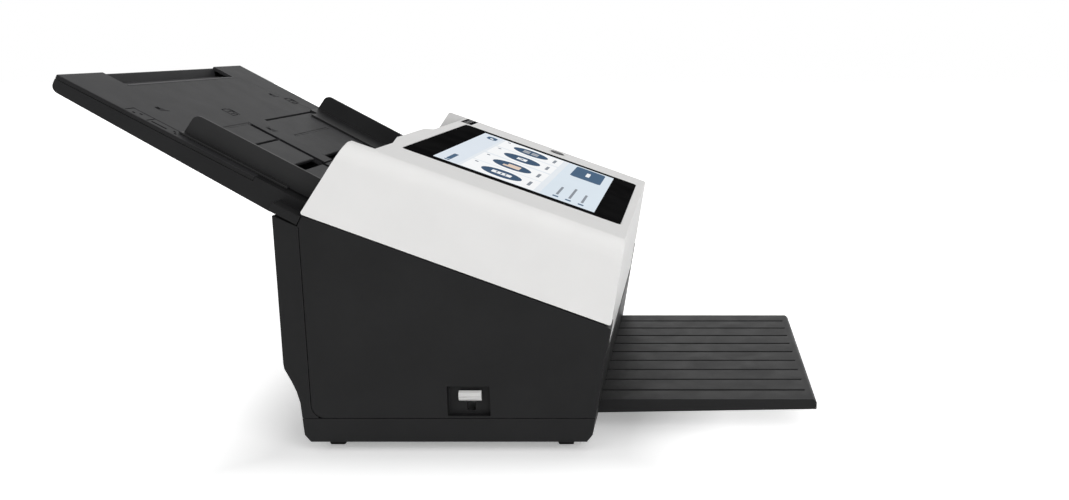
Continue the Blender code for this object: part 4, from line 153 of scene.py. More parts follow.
def moulded(
    name, colour, spread=0.06, roughness=0.45, grain=1800.0, depth=0.10, shine=0.5, metallic=0.0,
    stretch=None, edge=0.25,
):
    """Moulded or sheet material: cloudy colour and roughness, fine grain in the bump, edges paler with wear
    and painted highlight.
    """
    material = bpy.data.materials.new(name)
    material.use_nodes = True
    tree = material.node_tree
    shader = tree.nodes["Principled BSDF"]
    shader.inputs["Metallic"].default_value = metallic
    shader.inputs["Specular IOR Level"].default_value = shine
    low = tuple(channel * (1 - spread) for channel in colour)
    high = tuple(min(1.0, channel * (1 + spread)) for channel in colour)
    clouds = remap(tree, noise(tree, **CLOUDS), *CLOUD_RANGE, 0, 1)
    tint = mix_colours(tree, clouds, low, high)
    # paler edges: partly wear, partly painted highlight
    if edge:
        tint = worn_and_highlit_edges(tree, tint, colour, edge)
    tree.links.new(tint, shader.inputs["Base Color"])
    touched = noise(tree, **HANDLING)
    half_spread = 0.5 * spread
    handled = remap(tree, touched, *HANDLING_RANGE, roughness - half_spread, roughness + half_spread)
    tree.links.new(handled, shader.inputs["Roughness"])
    bump = tree.nodes.new("ShaderNodeBump")
    bump.inputs["Strength"].default_value = depth
    bump.inputs["Distance"].default_value = GRAIN_DISTANCE
    tree.links.new(noise(tree, grain, GRAIN_DETAIL, stretch), bump.inputs["Height"])
    tree.links.new(bump.outputs["Normal"], shader.inputs["Normal"])
    return material


def dark_glass(name, colour, share):
    """Coated glass: matt black below, with a small share of mirror on top."""
    material = moulded(name, colour, spread=0.10, roughness=0.20, grain=60, depth=0.004, shine=0.0, edge=0)
    tree = material.node_tree
    mirror = tree.nodes.new("ShaderNodeBsdfGlossy")
    mirror.inputs["Roughness"].default_value = MIRROR_ROUGHNESS
    both = tree.nodes.new("ShaderNodeMixShader")
    least, most = (part * share for part in SMEAR_SHARES)
    smears = remap(tree, noise(tree, **SMEARS), *SMEAR_RANGE, least, most)
    tree.links.new(smears, both.inputs["Fac"])
    tree.links.new(tree.nodes["Principled BSDF"].outputs[0], both.inputs[1])
    tree.links.new(mirror.outputs[0], both.inputs[2])
    tree.links.new(both.outputs[0], tree.nodes["Material Output"].inputs["Surface"])
    return material


def lit(name, colour, glow=0.80):
    """Ink of the lit display: mostly its own light, with a little printed colour."""
    printed = tuple(LIT_PRINT_SHARE * channel for channel in colour)
    material = moulded(name, printed, spread=0.03, roughness=0.30, grain=4000, depth=0.02, shine=0.0, edge=0)
    tree = material.node_tree
    shader = tree.nodes["Principled BSDF"]
    dimmest = tuple(LIT_DIMMEST_SHARE * channel for channel in colour)
    glowing = mix_colours(tree, noise(tree, **LIT_CLOUDS), dimmest, colour)
    tree.links.new(glowing, shader.inputs["Emission Color"])
    shader.inputs["Emission Strength"].default_value = glow
    return material


LOOK = {
    "white_plastic": moulded(
        "white_shell", (0.775, 0.770, 0.762), spread=0.012, roughness=0.42, grain=1500, depth=0.06,
        shine=0.25, edge=0.10,
    ),
    "black_plastic": moulded(
        "black_shell", (0.0114, 0.0115, 0.0119), spread=0.10, roughness=0.46, grain=2300, depth=0.16,
        shine=0.14, edge=0.35,
    ),
    "dark_plastic": moulded(
        "dark_shell", (0.013, 0.013, 0.014), spread=0.10, roughness=0.50, grain=2000, depth=0.14, shine=0.25
    ),
    "tray_plastic": moulded(
        "tray_shell_grey", (0.0250, 0.0250, 0.0264), spread=0.04, roughness=0.52, grain=2000, depth=0.18,
        shine=0.12,
    ),
    "guide_plastic": moulded(
        "guide_shell", (0.0170, 0.0170, 0.0175), spread=0.08, roughness=0.44, grain=2300, depth=0.12,
        shine=0.20,
    ),
    "output_plastic": moulded(
        "output_tray_black", (0.0108, 0.0108, 0.0112), spread=0.10, roughness=0.50, grain=2000, depth=0.16,
        shine=0.15, edge=0.30,
    ),
    "grey_plastic": moulded(
        "grey_shell", (0.62, 0.62, 0.61), spread=0.05, roughness=0.45, grain=2300, depth=0.10, shine=0.35
    ),
    "gear_plastic": moulded(
        "acetal", (0.70, 0.67, 0.58), spread=0.06, roughness=0.46, grain=1200, depth=0.10
    ),
    "frame_steel": moulded(
        "zinc_sheet", (0.52, 0.53, 0.54), spread=0.10, roughness=0.40, grain=420, depth=0.06,
        metallic=1.0, stretch=(1, 1, 9),
    ),
    "shaft_steel": moulded(
        "ground_steel", (0.62, 0.62, 0.63), spread=0.06, roughness=0.27, grain=900, depth=0.06,
        metallic=1.0, stretch=(9, 1, 1),
    ),
    "socket_metal": moulded(
        "plated_sheet", (0.60, 0.60, 0.60), spread=0.08, roughness=0.30, grain=500, depth=0.05, metallic=1.0
    ),
    "screw_black": moulded(
        "oxide_steel", (0.11, 0.11, 0.115), spread=0.10, roughness=0.38, grain=1200, depth=0.06, metallic=1.0
    ),
    "tyre_rubber": moulded(
        "soft_rubber", (0.020, 0.022, 0.027), spread=0.20, roughness=0.80, grain=900, depth=0.40, shine=0.30
    ),
    "foot_rubber": moulded(
        "foot_rubber", (0.012, 0.012, 0.012), spread=0.20, roughness=0.88, grain=900, depth=0.40, shine=0.20
    ),
    "display_glass": dark_glass("touch_glass_black", (0.0016, 0.0016, 0.0019), 0.006),
    "scan_glass": moulded(
        "scan_glass", (0.055, 0.070, 0.070), spread=0.10, roughness=0.09, grain=60, depth=0.004, shine=0.9,
        edge=0,
    ),
    "board_green": moulded(
        "board_green", (0.010, 0.085, 0.030), spread=0.15, roughness=0.42, grain=700, depth=0.20
    ),
    "chip_black": moulded(
        "chip_black", (0.015, 0.015, 0.016), spread=0.10, roughness=0.55, grain=1500, depth=0.10
    ),
    # dark matt ink: print on the tray, and painted shade lines along the spine
    "tray_mark": moulded(
        "tray_mark", (0.011, 0.011, 0.012), spread=0.10, roughness=0.80, grain=2000, depth=0.10, shine=0.0,
        edge=0,
    ),
    # paler colour that paints the highlight on the grip's ledge
    "tray_painted_highlight": moulded(
        "tray_painted_highlight", (0.075, 0.075, 0.078), spread=0.06, roughness=0.50, grain=2000, depth=0.10, shine=0.15,
        edge=0,
    ),
    "button_dark": moulded(
        "button_dark", (0.045, 0.045, 0.047), spread=0.06, roughness=0.40, grain=2300, depth=0.10,
        shine=0.30, edge=0.5,
    ),
    "label_foil": moulded(
        "label_foil", (0.36, 0.36, 0.37), spread=0.04, roughness=0.38, grain=1200, depth=0.05, shine=0.40
    ),
    "pale_mark": moulded(
        "pale_mark", (0.30, 0.30, 0.31), spread=0.05, roughness=0.50, grain=2000, depth=0.05, edge=0
    ),
}
INK = {
    "page": lit("ui_page", (0.80, 0.84, 0.88)),
    "card": lit("ui_card", (0.94, 0.95, 0.96)),
    "header": lit("ui_header", (0.74, 0.80, 0.87)),
    "panel": lit("ui_panel", (0.72, 0.80, 0.87)),
    "navy": lit("ui_navy", (0.060, 0.105, 0.175)),
    "slate": lit("ui_slate", (0.080, 0.140, 0.225)),
    "grey": lit("ui_grey", (0.30, 0.33, 0.37), glow=0.70),
    "silver": lit("ui_silver", (0.42, 0.44, 0.47)),
    "white": lit("ui_white", (0.90, 0.92, 0.94)),
    "beige": lit("ui_beige", (0.75, 0.61, 0.51)),
}

# Pieces
SMOOTH_ANGLE = math.radians(35)
CORNER_STEPS = 5
DISC_SIDES = 40
ROUND_SIDES = 48


def keep(work, name, look, body, place, smooth):
    """Turn a finished bmesh into a piece that rides on a body."""
    mesh = bpy.data.meshes.new(name)
    bmesh.ops.recalc_face_normals(work, faces=work.faces)
    work.to_mesh(mesh)
    work.free()
    if place:
        mesh.transform(place)
    piece = bpy.data.objects.new(name, mesh)
    bpy.context.scene.collection.objects.link(piece)
    mesh.materials.append(look)
    if smooth:
        mesh.shade_smooth()
        mesh.set_sharp_from_angle(angle=SMOOTH_ANGLE)
    if body:
        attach(piece, body)
    return piece


def mesh_piece(name, vertices, faces, look, body, place=None, smooth=False):
    work = bmesh.new()
    corners = [work.verts.new(vertex) for vertex in vertices]
    for face in faces:
        work.faces.new([corners[index] for index in face])
    return keep(work, name, look, body, place, smooth)


def loft(name, sections, look, body, place=None, smooth=False):
    """Closed skin over sections of as many points each."""
    count = len(sections[0])
    vertices = [point for section in sections for point in section]
    last = (len(sections) - 1) * count
    faces = [list(range(count)), list(range(last, last + count))]
    for layer in range(len(sections) - 1):
        for index in range(count):
            following = (index + 1) % count
            low, high = layer * count, (layer + 1) * count
            faces.append([low + index, low + following, high + following, high + index])
    return mesh_piece(name, vertices, faces, look, body, place, smooth)


def inset(outline, distance):
    """The outline moved inwards by distance on every side."""
    pairs = zip(outline, outline[1:] + outline[:1])
    turn = 1 if sum(a[0] * b[1] - a[1] * b[0] for a, b in pairs) > 0 else -1
    moved = []
    for index, (x, y) in enumerate(outline):
        before, after = outline[index - 1], outline[(index + 1) % len(outline)]
        first = Vector((x - before[0], y - before[1])).normalized()
        second = Vector((after[0] - x, after[1] - y)).normalized()
        inner = Vector((-first.y - second.y, first.x + second.x)) * turn / (1 + first.dot(second))
        moved.append((x + inner.x * distance, y + inner.y * distance))
    return moved


def shifted(outline, x, y):
    """The outline moved by x and y."""
    return [(x + dx, y + dy) for dx, dy in outline]


def slab(name, outline, low, high, look, body, place=None, ease=0.0, smooth=False):
    """Outline in (x, y) pushed along z, with its top edge eased."""
    sections = [[(x, y, low) for x, y in outline]]
    if ease:
        sections.append([(x, y, high - ease) for x, y in outline])
        sections.append([(x, y, high) for x, y in inset(outline, ease)])
    else:
        sections.append([(x, y, high) for x, y in outline])
    return loft(name, sections, look, body, place, smooth)


def plate(name, outline, holes, low, high, look, body, place=None):
    """Outline with holes, pushed along z."""
    work = bmesh.new()
    for height in (low, high):
        edges = []
        for loop in (outline, *holes):
            ring = [work.verts.new((x, y, height)) for x, y in loop]
            edges += [work.edges.new((ring[index - 1], ring[index])) for index in range(len(ring))]
        bmesh.ops.triangle_fill(work, use_beauty=True, use_dissolve=False, edges=edges)
    work.verts.ensure_lookup_table()
    half = len(work.verts) // 2
    start = 0
    for loop in (outline, *holes):
        count = len(loop)
        for index in range(count):
            a, b = start + index, start + (index + 1) % count
            work.faces.new([work.verts[number] for number in (a, b, half + b, half + a)])
        start += count
    return keep(work, name, look, body, place, False)


def bar(name, x0, x1, y0, y1, low, high, look, body, place=None, ease=0.0):
    return slab(name, [(x0, y0), (x1, y0), (x1, y1), (x0, y1)], low, high, look, body, place, ease)


def side_bar(name, side, inner, outer, *rest):
    """Bar between two distances from the middle, on the side -1 or 1."""
    x0, x1 = sorted((side * inner, side * outer))
    return bar(name, x0, x1, *rest)


def block(name, half_width, half_length, low, high, look, body, place, ease=0.0):
    """Bar centred on its place."""
    return bar(name, -half_width, half_width, -half_length, half_length, low, high, look, body, place, ease)


def disc_outline(x, y, radius, sides=DISC_SIDES):
    angles = [2 * math.pi * index / sides for index in range(sides)]
    return [(x + radius * math.cos(angle), y + radius * math.sin(angle)) for angle in angles]


def card_outline(x0, x1, y0, y1, radius):
    """Rectangle with round corners."""
    corners = (
        (x1 - radius, y1 - radius, 0),
        (x0 + radius, y1 - radius, 90),
        (x0 + radius, y0 + radius, 180),
        (x1 - radius, y0 + radius, 270),
    )
    points = []
    for x, y, start in corners:
        for step in range(CORNER_STEPS + 1):
            angle = math.radians(start + 90 * step / CORNER_STEPS)
            points.append((x + radius * math.cos(angle), y + radius * math.sin(angle)))
    return points


def centred_outline(half_width, half_height, radius):
    return card_outline(-half_width, half_width, -half_height, half_height, radius)


def turned(name, stations, centre, look, body):
    """Ring or disc about a line along x through centre (y, z); stations are (x, radius)."""
    sections = [[(x, y, z) for y, z in disc_outline(*centre, radius, ROUND_SIDES)] for x, radius in stations]
    return loft(name, sections, look, body, None, True)


# Screws: one radius for each use, and the rest as shares of it, but the rim as a share of the height
SCREW_RADIUS = 0.0028
BASE_SCREW_RADIUS = 0.0032
FRAME_SCREW_RADIUS = 0.0026
SCREW_HEIGHT_SHARE = 0.42
SCREW_TOP_SHARE = 0.82
SCREW_RIM_SHARE = 0.5
CROSS_DEPTH_SHARE = 0.30
CROSS_ARM_SHARE = 0.55
CROSS_HALF_SHARE = 0.13
SCREW_SIDES = 24


def screw(name, place, body, radius=SCREW_RADIUS):
    """Pan head with a cross recess, seated on place."""
    height, depth = SCREW_HEIGHT_SHARE * radius, CROSS_DEPTH_SHARE * radius
    arm, half = CROSS_ARM_SHARE * radius, CROSS_HALF_SHARE * radius
    cross = [
        (arm, -half), (arm, half), (half, half), (half, arm), (-half, arm), (-half, half),
        (-arm, half), (-arm, -half), (-half, -half), (-half, -arm), (half, -arm), (half, -half),
    ]
    work = bmesh.new()
    rims = []
    for share, level in ((1.0, 0.0), (1.0, SCREW_RIM_SHARE * height), (SCREW_TOP_SHARE, height)):
        outline = disc_outline(0, 0, share * radius, SCREW_SIDES)
        rims.append([work.verts.new((x, y, level)) for x, y in outline])
    walls = [[work.verts.new((x, y, level)) for x, y in cross] for level in (height, height - depth)]
    work.faces.new(rims[0])
    work.faces.new(walls[1])
    for low, high in ((rims[0], rims[1]), (rims[1], rims[2]), (walls[0], walls[1])):
        for index in range(len(low)):
            work.faces.new([low[index - 1], low[index], high[index], high[index - 1]])
    edges = []
    for loop in (rims[2], walls[0]):
        edges += [work.edges.get((loop[index - 1], loop[index])) for index in range(len(loop))]
    bmesh.ops.triangle_fill(work, use_beauty=True, use_dissolve=False, edges=edges)
    return keep(work, name, LOOK["screw_black"], body, place, False)


def surface_of(node):
    """Tree of a CAD node's faces in the row frame, to seat details on."""
    piece = NODES[node]
    points = [piece.matrix_world @ vertex.co for vertex in piece.data.vertices]
    return BVHTree.FromPolygons(points, [tuple(face.vertices) for face in piece.data.polygons])


def seat(node, origin, direction, ahead=UP):
    """Place where a ray meets a CAD node: its z leaves the surface and its y points ahead."""
    hit, normal, _, _ = surface_of(node).ray_cast(Vector(origin), Vector(direction))
    if hit is None:
        raise ValueError(f"no surface of {node} from {tuple(origin)}")
    outward = normal if normal.dot(Vector(direction)) < 0 else -normal
    upward = Vector(ahead) - outward * outward.dot(Vector(ahead))
    upward.normalize()
    across = upward.cross(outward)
    turn = Matrix((across, upward, outward)).transposed().to_4x4()
    return Matrix.Translation(hit) @ turn


# CAD nodes: how wide the edges of each are eased, where it isn't the fine ease
EDGE_ANGLE = math.radians(32)
WELD_DISTANCE = 0.00002
EASE_SEGMENTS = 2
FINE_EASE = 0.0003
GUIDE_EASE = 0.0004
SHELL_EASE = 0.0008
FOOT_EASE = 0.0006
EASE = {
    "cover_shell": SHELL_EASE,
    "tray_shell": SHELL_EASE,
    "base_pan": 0.0009,
    "left_side_cover": 0.0007,
    "right_side_cover": 0.0007,
    "rear_cover": 0.0006,
    "output_tray": 0.0006,
    "touch_glass": 0.0004,
    "tray_plate": 0.0004,
    "release_knob": 0.0004,
    "left_guide": GUIDE_EASE,
    "right_guide": GUIDE_EASE,
    "foot_front_left": FOOT_EASE,
    "foot_front_right": FOOT_EASE,
    "foot_rear_left": FOOT_EASE,
    "foot_rear_right": FOOT_EASE,
}


def dress(node, look, width):
    """Give a CAD node its material and ease its edges."""
    piece = NODES[node]
    piece.data.materials.clear()
    piece.data.materials.append(look)
    weld = piece.modifiers.new("weld", "WELD")
    weld.merge_threshold = WELD_DISTANCE
    bevel = piece.modifiers.new("ease", "BEVEL")
    bevel.width = width
    bevel.segments = EASE_SEGMENTS
    bevel.limit_method = "ANGLE"
    bevel.angle_limit = EDGE_ANGLE
    bevel.use_clamp_overlap = True
    bevel.harden_normals = False
    piece.data.shade_smooth()
    piece.data.set_sharp_from_angle(angle=EDGE_ANGLE)
    even = piece.modifiers.new("even", "WEIGHTED_NORMAL")
    even.keep_sharp = True
    even.weight = 100


def dress_nodes():
    """Dress each CAD node with the material of its slot; the output tray has a black of its own."""
    slots = {entry["node"]: entry["material_slot"] for entry in frame["record"]["subparts"]}
    for node, slot in slots.items():
        look = LOOK["output_plastic"] if node == "output_tray" else LOOK[slot]
        dress(node, look, EASE.get(node, FINE_EASE))


# Lit display, in the plane of the cover's top. Its layout is in shares of its width, from the left,
# and of its height, from the rear. Each layer of ink stands a little above the one below.
DISPLAY_HALF_WIDTH = 0.0861
DISPLAY_FRONT = 0.0247
DISPLAY_LENGTH = 0.1076
INK_FOOT = 0.00001
INK_LAYER = 0.00003
SQUARE_CORNER = 0.0002
TEXT_CORNER = 0.001
DISC_RADIUS = 0.0138
TITLE_DOT_RADIUS = 0.0019
TITLE_DOT_SHARES = (0.030, 0.074)
# A side of a card is at least this many corner radii long
SIDE_IN_RADII = 2.01

# Areas of the page: name, left, right, rear, front, ink, corner radius, layer
PAGE_AREAS = (
    ("display_page", 0, 1, 0, 1, "page", SQUARE_CORNER, 1),
    ("display_header", 0, 1, 0, 0.145, "header", SQUARE_CORNER, 2),
    ("display_panel", 0, 1, 0.655, 1, "panel", SQUARE_CORNER, 2),
    ("display_title", 0.05, 0.20, 0.060, 0.088, "slate", TEXT_CORNER, 3),
    ("display_pill", 0.853, 0.944, 0.050, 0.120, "slate", 0.004, 3),
    ("display_pill_mark", 0.872, 0.900, 0.074, 0.096, "white", TEXT_CORNER, 4),
    ("display_start", 0.657, 0.975, 0.72, 0.94, "slate", 0.003, 3),
    ("display_start_label", 0.760, 0.872, 0.815, 0.843, "white", TEXT_CORNER, 4),
)
# The same for each card, with left and right from its middle
CARD_MIDDLE_SHARES = (0.124, 0.364, 0.619, 0.869)
DISC_SHARE = 0.386
CARD_AREAS = (
    ("display_card", -0.112, 0.112, 0.165, 0.615, "card", 0.002, 2),
    ("display_label", -0.050, 0.050, 0.556, 0.576, "grey", TEXT_CORNER, 3),
    ("display_mark", 0.070, 0.092, 0.190, 0.212, "grey", TEXT_CORNER, 3),
)
# Lines of the list: share from the rear, and right end
LINE_SHARES = ((0.745, 0.30), (0.825, 0.36), (0.905, 0.30))
LINE_LEFT_SHARE = 0.10
LINE_HALF_SHARE = 0.008
TICK_SHARES = (0.045, 0.070)
TICK_HALF_SHARE = 0.018
TICK_CORNER = 0.0006
# Pictograms in the middle of the discs: half widths and half heights, or edges, from the middle
SHEET_SHARES = (0.026, 0.062)
SHEET_LINE_SHARES = (0.016, 0.004)
SHEET_FIRST_LINE_SHARE = -0.030
SHEET_LINE_PITCH_SHARE = 0.028
FOLDER_SHARES = (-0.040, 0.040, -0.030, 0.055)
FOLDER_TAB_SHARES = (-0.040, -0.004, -0.055, -0.024)
LETTER_SHARES = (0.030, 0.034)
FLAP_SHARES = ((-0.027, -0.029), (0, 0.008), (0.027, -0.029))
FLAP_HALF_WIDTH = 0.0007
TILE_SHARES = (0.016, 0.025)
TILE_PLACES_SHARES = ((-0.020, -0.031), (0.020, -0.031), (-0.020, 0.031), (0.020, 0.031))
SOFT_CORNER = 0.0008
CRISP_CORNER = 0.0006
TILE_CORNER = 0.0005
THIN_LINE_CORNER = 0.0003


def display_point(u, v):
    """Point in the plane of the cover's top at the shares u and v of the display."""
    x = -DISPLAY_HALF_WIDTH + 2 * DISPLAY_HALF_WIDTH * u
    return x, DISPLAY_FRONT + DISPLAY_LENGTH * (1 - v)


def display_ink(name, outline, ink, level):
    return slab(name, outline, INK_FOOT, INK_LAYER * level, INK[ink], "cover", TOP_PLACE)


def display_card(name, u0, u1, v0, v1, ink, radius, level):
    x0, y1 = display_point(u0, v0)
    x1, y0 = display_point(u1, v1)
    radius = min(radius, (x1 - x0) / SIDE_IN_RADII, (y1 - y0) / SIDE_IN_RADII)
    return display_ink(name, card_outline(x0, x1, y0, y1, radius), ink, level)


def card_at(name, u, v, shares, *rest):
    """Card from the edges that shares gives from a middle."""
    left, right, rear, front = shares
    return display_card(name, u + left, u + right, v + rear, v + front, *rest)


def centred_card(name, u, v, halves, *rest):
    half_u, half_v = halves
    return card_at(name, u, v, (-half_u, half_u, -half_v, half_v), *rest)


def display_disc(name, u, v, radius, ink, level):
    return display_ink(name, disc_outline(*display_point(u, v), radius), ink, level)


def make_sheet_icon(u, v):
    centred_card("icon_sheet", u, v, SHEET_SHARES, "white", SOFT_CORNER, 4)
    for row in range(3):
        line_v = v + SHEET_FIRST_LINE_SHARE + SHEET_LINE_PITCH_SHARE * row
        centred_card(f"icon_sheet_line_{row}", u, line_v, SHEET_LINE_SHARES, "navy", THIN_LINE_CORNER, 5)


def make_folder_icon(u, v):
    card_at("icon_folder", u, v, FOLDER_SHARES, "beige", SOFT_CORNER, 4)
    card_at("icon_folder_tab", u, v, FOLDER_TAB_SHARES, "beige", CRISP_CORNER, 4)


def make_letter_icon(u, v):
    centred_card("icon_letter", u, v, LETTER_SHARES, "white", CRISP_CORNER, 4)
    (x0, y0), (x1, y1), (x2, y2) = (display_point(u + du, v + dv) for du, dv in FLAP_SHARES)
    drop = FLAP_HALF_WIDTH
    flap = [(x0, y0), (x0, y0 - drop), (x1, y1 - drop), (x2, y2 - drop), (x2, y2), (x1, y1 + drop)]
    display_ink("icon_letter_flap", flap, "navy", 5)


def make_tiles_icon(u, v):
    for number, (du, dv) in enumerate(TILE_PLACES_SHARES):
        centred_card(f"icon_tile_{number}", u + du, v + dv, TILE_SHARES, "silver", TILE_CORNER, 4)


def make_display():
    for area in PAGE_AREAS:
        display_card(*area)
    display_disc("display_title_dot", *TITLE_DOT_SHARES, TITLE_DOT_RADIUS, "slate", 3)
    icons = (make_sheet_icon, make_folder_icon, make_letter_icon, make_tiles_icon)
    for index, (u, make_icon) in enumerate(zip(CARD_MIDDLE_SHARES, icons)):
        for name, left, right, *rest in CARD_AREAS:
            display_card(f"{name}_{index}", u + left, u + right, *rest)
        display_disc(f"display_disc_{index}", u, DISC_SHARE, DISC_RADIUS, "navy", 3)
        make_icon(u, DISC_SHARE)
    for row, (v, right) in enumerate(LINE_SHARES):
        line_rear, line_front = v - LINE_HALF_SHARE, v + LINE_HALF_SHARE
        line = (LINE_LEFT_SHARE, right, line_rear, line_front)
        display_card(f"display_line_{row}", *line, "grey", TEXT_CORNER, 3)
        tick = (*TICK_SHARES, v - TICK_HALF_SHARE, v + TICK_HALF_SHARE)
        display_card(f"display_tick_{row}", *tick, "slate", TICK_CORNER, 3)


# Cover: the power button's ring and mark, and the marks below the rim window
BUTTON_X = 0.115
BUTTON_ALONG = 0.0761
BUTTON_Y = -0.0357
RING_RADIUS = 0.0068
RING_HOLE_RADIUS = 0.0059
RING_FOOT = -0.0002
RING_HEIGHT = 0.00018
MARK_HEIGHT = 0.00006
ARC_ANGLES = [math.radians(angle) for angle in range(125, 420, 12)]
ARC_RADIUS = 0.0022
ARC_HOLE_RADIUS = 0.0018
ARC_BAR_HALF_WIDTH = 0.0002
ARC_BAR_FROM = 0.0010
ARC_BAR_TO = 0.0028
WINDOW_MARK_XS = (0.1065, 0.1150, 0.1235)
WINDOW_MARK_Y = 0.0350
WINDOW_MARK_OUTLINE = centred_outline(0.0023, 0.0021, 0.0004)
WINDOW_MARK_HEIGHT = 0.00005


def make_cover_details():
    ring = disc_outline(BUTTON_X, BUTTON_ALONG, RING_RADIUS)
    hole = disc_outline(BUTTON_X, BUTTON_ALONG, RING_HOLE_RADIUS)
    plate("button_ring", ring, [hole], RING_FOOT, RING_HEIGHT, LOOK["grey_plastic"], "cover", TOP_PLACE)
    mark = LOOK["pale_mark"]
    place = seat("power_button", (BUTTON_X, BUTTON_Y, RAY_REACH), DOWN, REARWARD)
    outer = [(ARC_RADIUS * math.cos(angle), ARC_RADIUS * math.sin(angle)) for angle in ARC_ANGLES]
    inner = [(ARC_HOLE_RADIUS * math.cos(angle), ARC_HOLE_RADIUS * math.sin(angle)) for angle in ARC_ANGLES]
    slab("button_arc", outer + inner[::-1], 0, MARK_HEIGHT, mark, "button", place)
    half = ARC_BAR_HALF_WIDTH
    bar("button_bar", -half, half, ARC_BAR_FROM, ARC_BAR_TO, 0, MARK_HEIGHT, mark, "button", place)
    for index, x in enumerate(WINDOW_MARK_XS):
        place = seat("rim_window", (x, WINDOW_MARK_Y, RAY_REACH), DOWN, REARWARD)
        look = LOOK["button_dark"]
        slab(f"window_mark_{index}", WINDOW_MARK_OUTLINE, 0, WINDOW_MARK_HEIGHT, look, "cover", place)


# Input tray, in its own plane: x across, and along from the tray's front end.
# The feet of the side guides run 0.3 mm above it, so all that is raised stays below that.
RAISED = 0.00022
RAISED_EASE = 0.0001
PRINTED = 0.00008
FILLER_FOOT = -0.0008
FILLER_TOP = -0.0001
CHUTE_FOOT = -0.0009
LIP_FOOT = -0.0024
LINE_FOOT = 0.00005
LINE_TOP = 0.00012
# x of the painted shade line beside the spine's raised strip
SPINE_SHADE_X = (-0.0262, -0.0219)
STRIP_X = (-0.0218, -0.0060)
SPINE_FRONT = -0.0062
LIP_ALONG = (0.0004, 0.0022)
CHUTE_ALONG = (-0.0360, -0.0068)

# Bars: name, x from and to, along from and to, bottom, top, and then look, body and ease.
# The spine's painted shade line, a dark strip standing for the shadow of the raised strip's step, stops where
# the left guide's tab crosses it.
FLAT = ("tray_plastic", "paper_input", 0)
EASED = ("tray_plastic", "paper_input", RAISED_EASE)
PAINTED_SHADE = ("tray_mark", "paper_input", 0)
TRAY_BARS = (
    # the grip strip's paler colour is a painted highlight on the ledge's slope
    ("grip_highlight_strip", -0.0780, 0.0780, 0.1086, 0.1097, 0, RAISED, "tray_painted_highlight", "paper_input", RAISED_EASE),
    ("slot_filler_rear", -0.1070, -0.0250, 0.0496, 0.0509, FILLER_FOOT, FILLER_TOP, *FLAT),
    ("slot_filler_front", 0.0065, 0.0740, 0.0268, 0.0281, FILLER_FOOT, FILLER_TOP, *FLAT),
    ("slot_cover_front", 0.0740, 0.1070, 0.0266, 0.0286, FILLER_FOOT, 0.00002, *FLAT),
    ("spine_bridge", -0.0262, -0.0060, SPINE_FRONT, 0.0006, LIP_FOOT, LINE_FOOT, *FLAT),
    ("spine_line_front", *SPINE_SHADE_X, SPINE_FRONT, 0.0264, LINE_FOOT, LINE_TOP, *PAINTED_SHADE),
    ("spine_line_rear", *SPINE_SHADE_X, 0.0288, 0.0484, LINE_FOOT, LINE_TOP, *PAINTED_SHADE),
    ("tray_lip_left", -0.0690, -0.0300, *LIP_ALONG, 0, RAISED, *EASED),
    ("tray_lip_right", -0.0055, 0.0960, *LIP_ALONG, 0, RAISED, *EASED),
    ("chute_lip", -0.1150, 0.1150, -0.0122, -0.0066, LIP_FOOT, -0.00082, "tray_plastic", "base", 0.0003),
    ("chute_strip", *STRIP_X, *CHUTE_ALONG, CHUTE_FOOT, -0.0006, "tray_plastic", "base", RAISED_EASE),
    # the chute's spine line is painted shade too
    ("chute_spine_line", *SPINE_SHADE_X, *CHUTE_ALONG, CHUTE_FOOT, -0.0007, "tray_mark", "base", 0),
)
# Tongues that stand in the tray's holes: x, along from and to, bottom and top of each section
TONGUE_PLACES = ((-0.0924, 0.0797), (0.0861, 0.0797), (-0.0108, 0.0392))
TONGUE_SECTIONS = (
    (-0.0006, -0.0020, 0.0004, -0.0014, -0.0009),
    (0.0030, -0.0022, 0.0004, -0.0004, 0.0002),
    (0.0058, -0.0036, -0.0010, -0.0001, RAISED),
)
STRIP_OUTLINE = [
    (-0.0218, -0.0062), (-0.0060, -0.0062), (-0.0060, 0.0360), (-0.0138, 0.0360),
    (-0.0138, 0.0424), (-0.0060, 0.0424), (-0.0060, 0.0520), (-0.0218, 0.0520),
]
# Printed lines by the left edge: x from and to, along from and to
PRINTED_LINES = (
    (-0.1163, -0.1158, 0.0510, 0.0837), (-0.1260, -0.1158, 0.0837, 0.0842),
    (-0.1262, -0.1165, 0.0698, 0.0703), (-0.1242, -0.1228, 0.0588, 0.0683),
    (-0.1247, -0.1232, 0.0788, 0.0803), (-0.1212, -0.1197, 0.0760, 0.0775),
    (-0.1218, -0.1203, 0.0540, 0.0555), (-0.1247, -0.1232, 0.0522, 0.0537),
)
# Printed sheets with an arrow beside them
SHEET_PLACES = ((-0.0205, 0.0660), (0.0985, 0.0685))
SHEET_OUTLINE = ((-0.0042, -0.0045), (0.0042, -0.0045), (0.0042, 0.0028), (0.0025, 0.0045), (-0.0042, 0.0045))
SHEET_BORDER = 0.0005
SHEET_LINE_HALF_WIDTH = 0.0026
SHEET_LINE_LENGTH = 0.0004
SHEET_LINE_FIRST = -0.0024
SHEET_LINE_PITCH = 0.0028
ARROW_OUTLINE = (
    (0.0066, 0.0045), (0.0052, -0.0002), (0.0062, -0.0002), (0.0062, -0.0045),
    (0.0070, -0.0045), (0.0070, -0.0002), (0.0080, -0.0002),
)
# Edge strips of the tray and flanges of the guides, on both sides
EDGE_STRIP = (0.1274, 0.12768, 0.0004, 0.1260, -0.0024, -0.0002)
GUIDE_FLANGE = (0.1160, 0.1206, -0.0180, 0.0526, 0.0003, 0.0015)
GUIDE_FLANGE_EASE = 0.0003
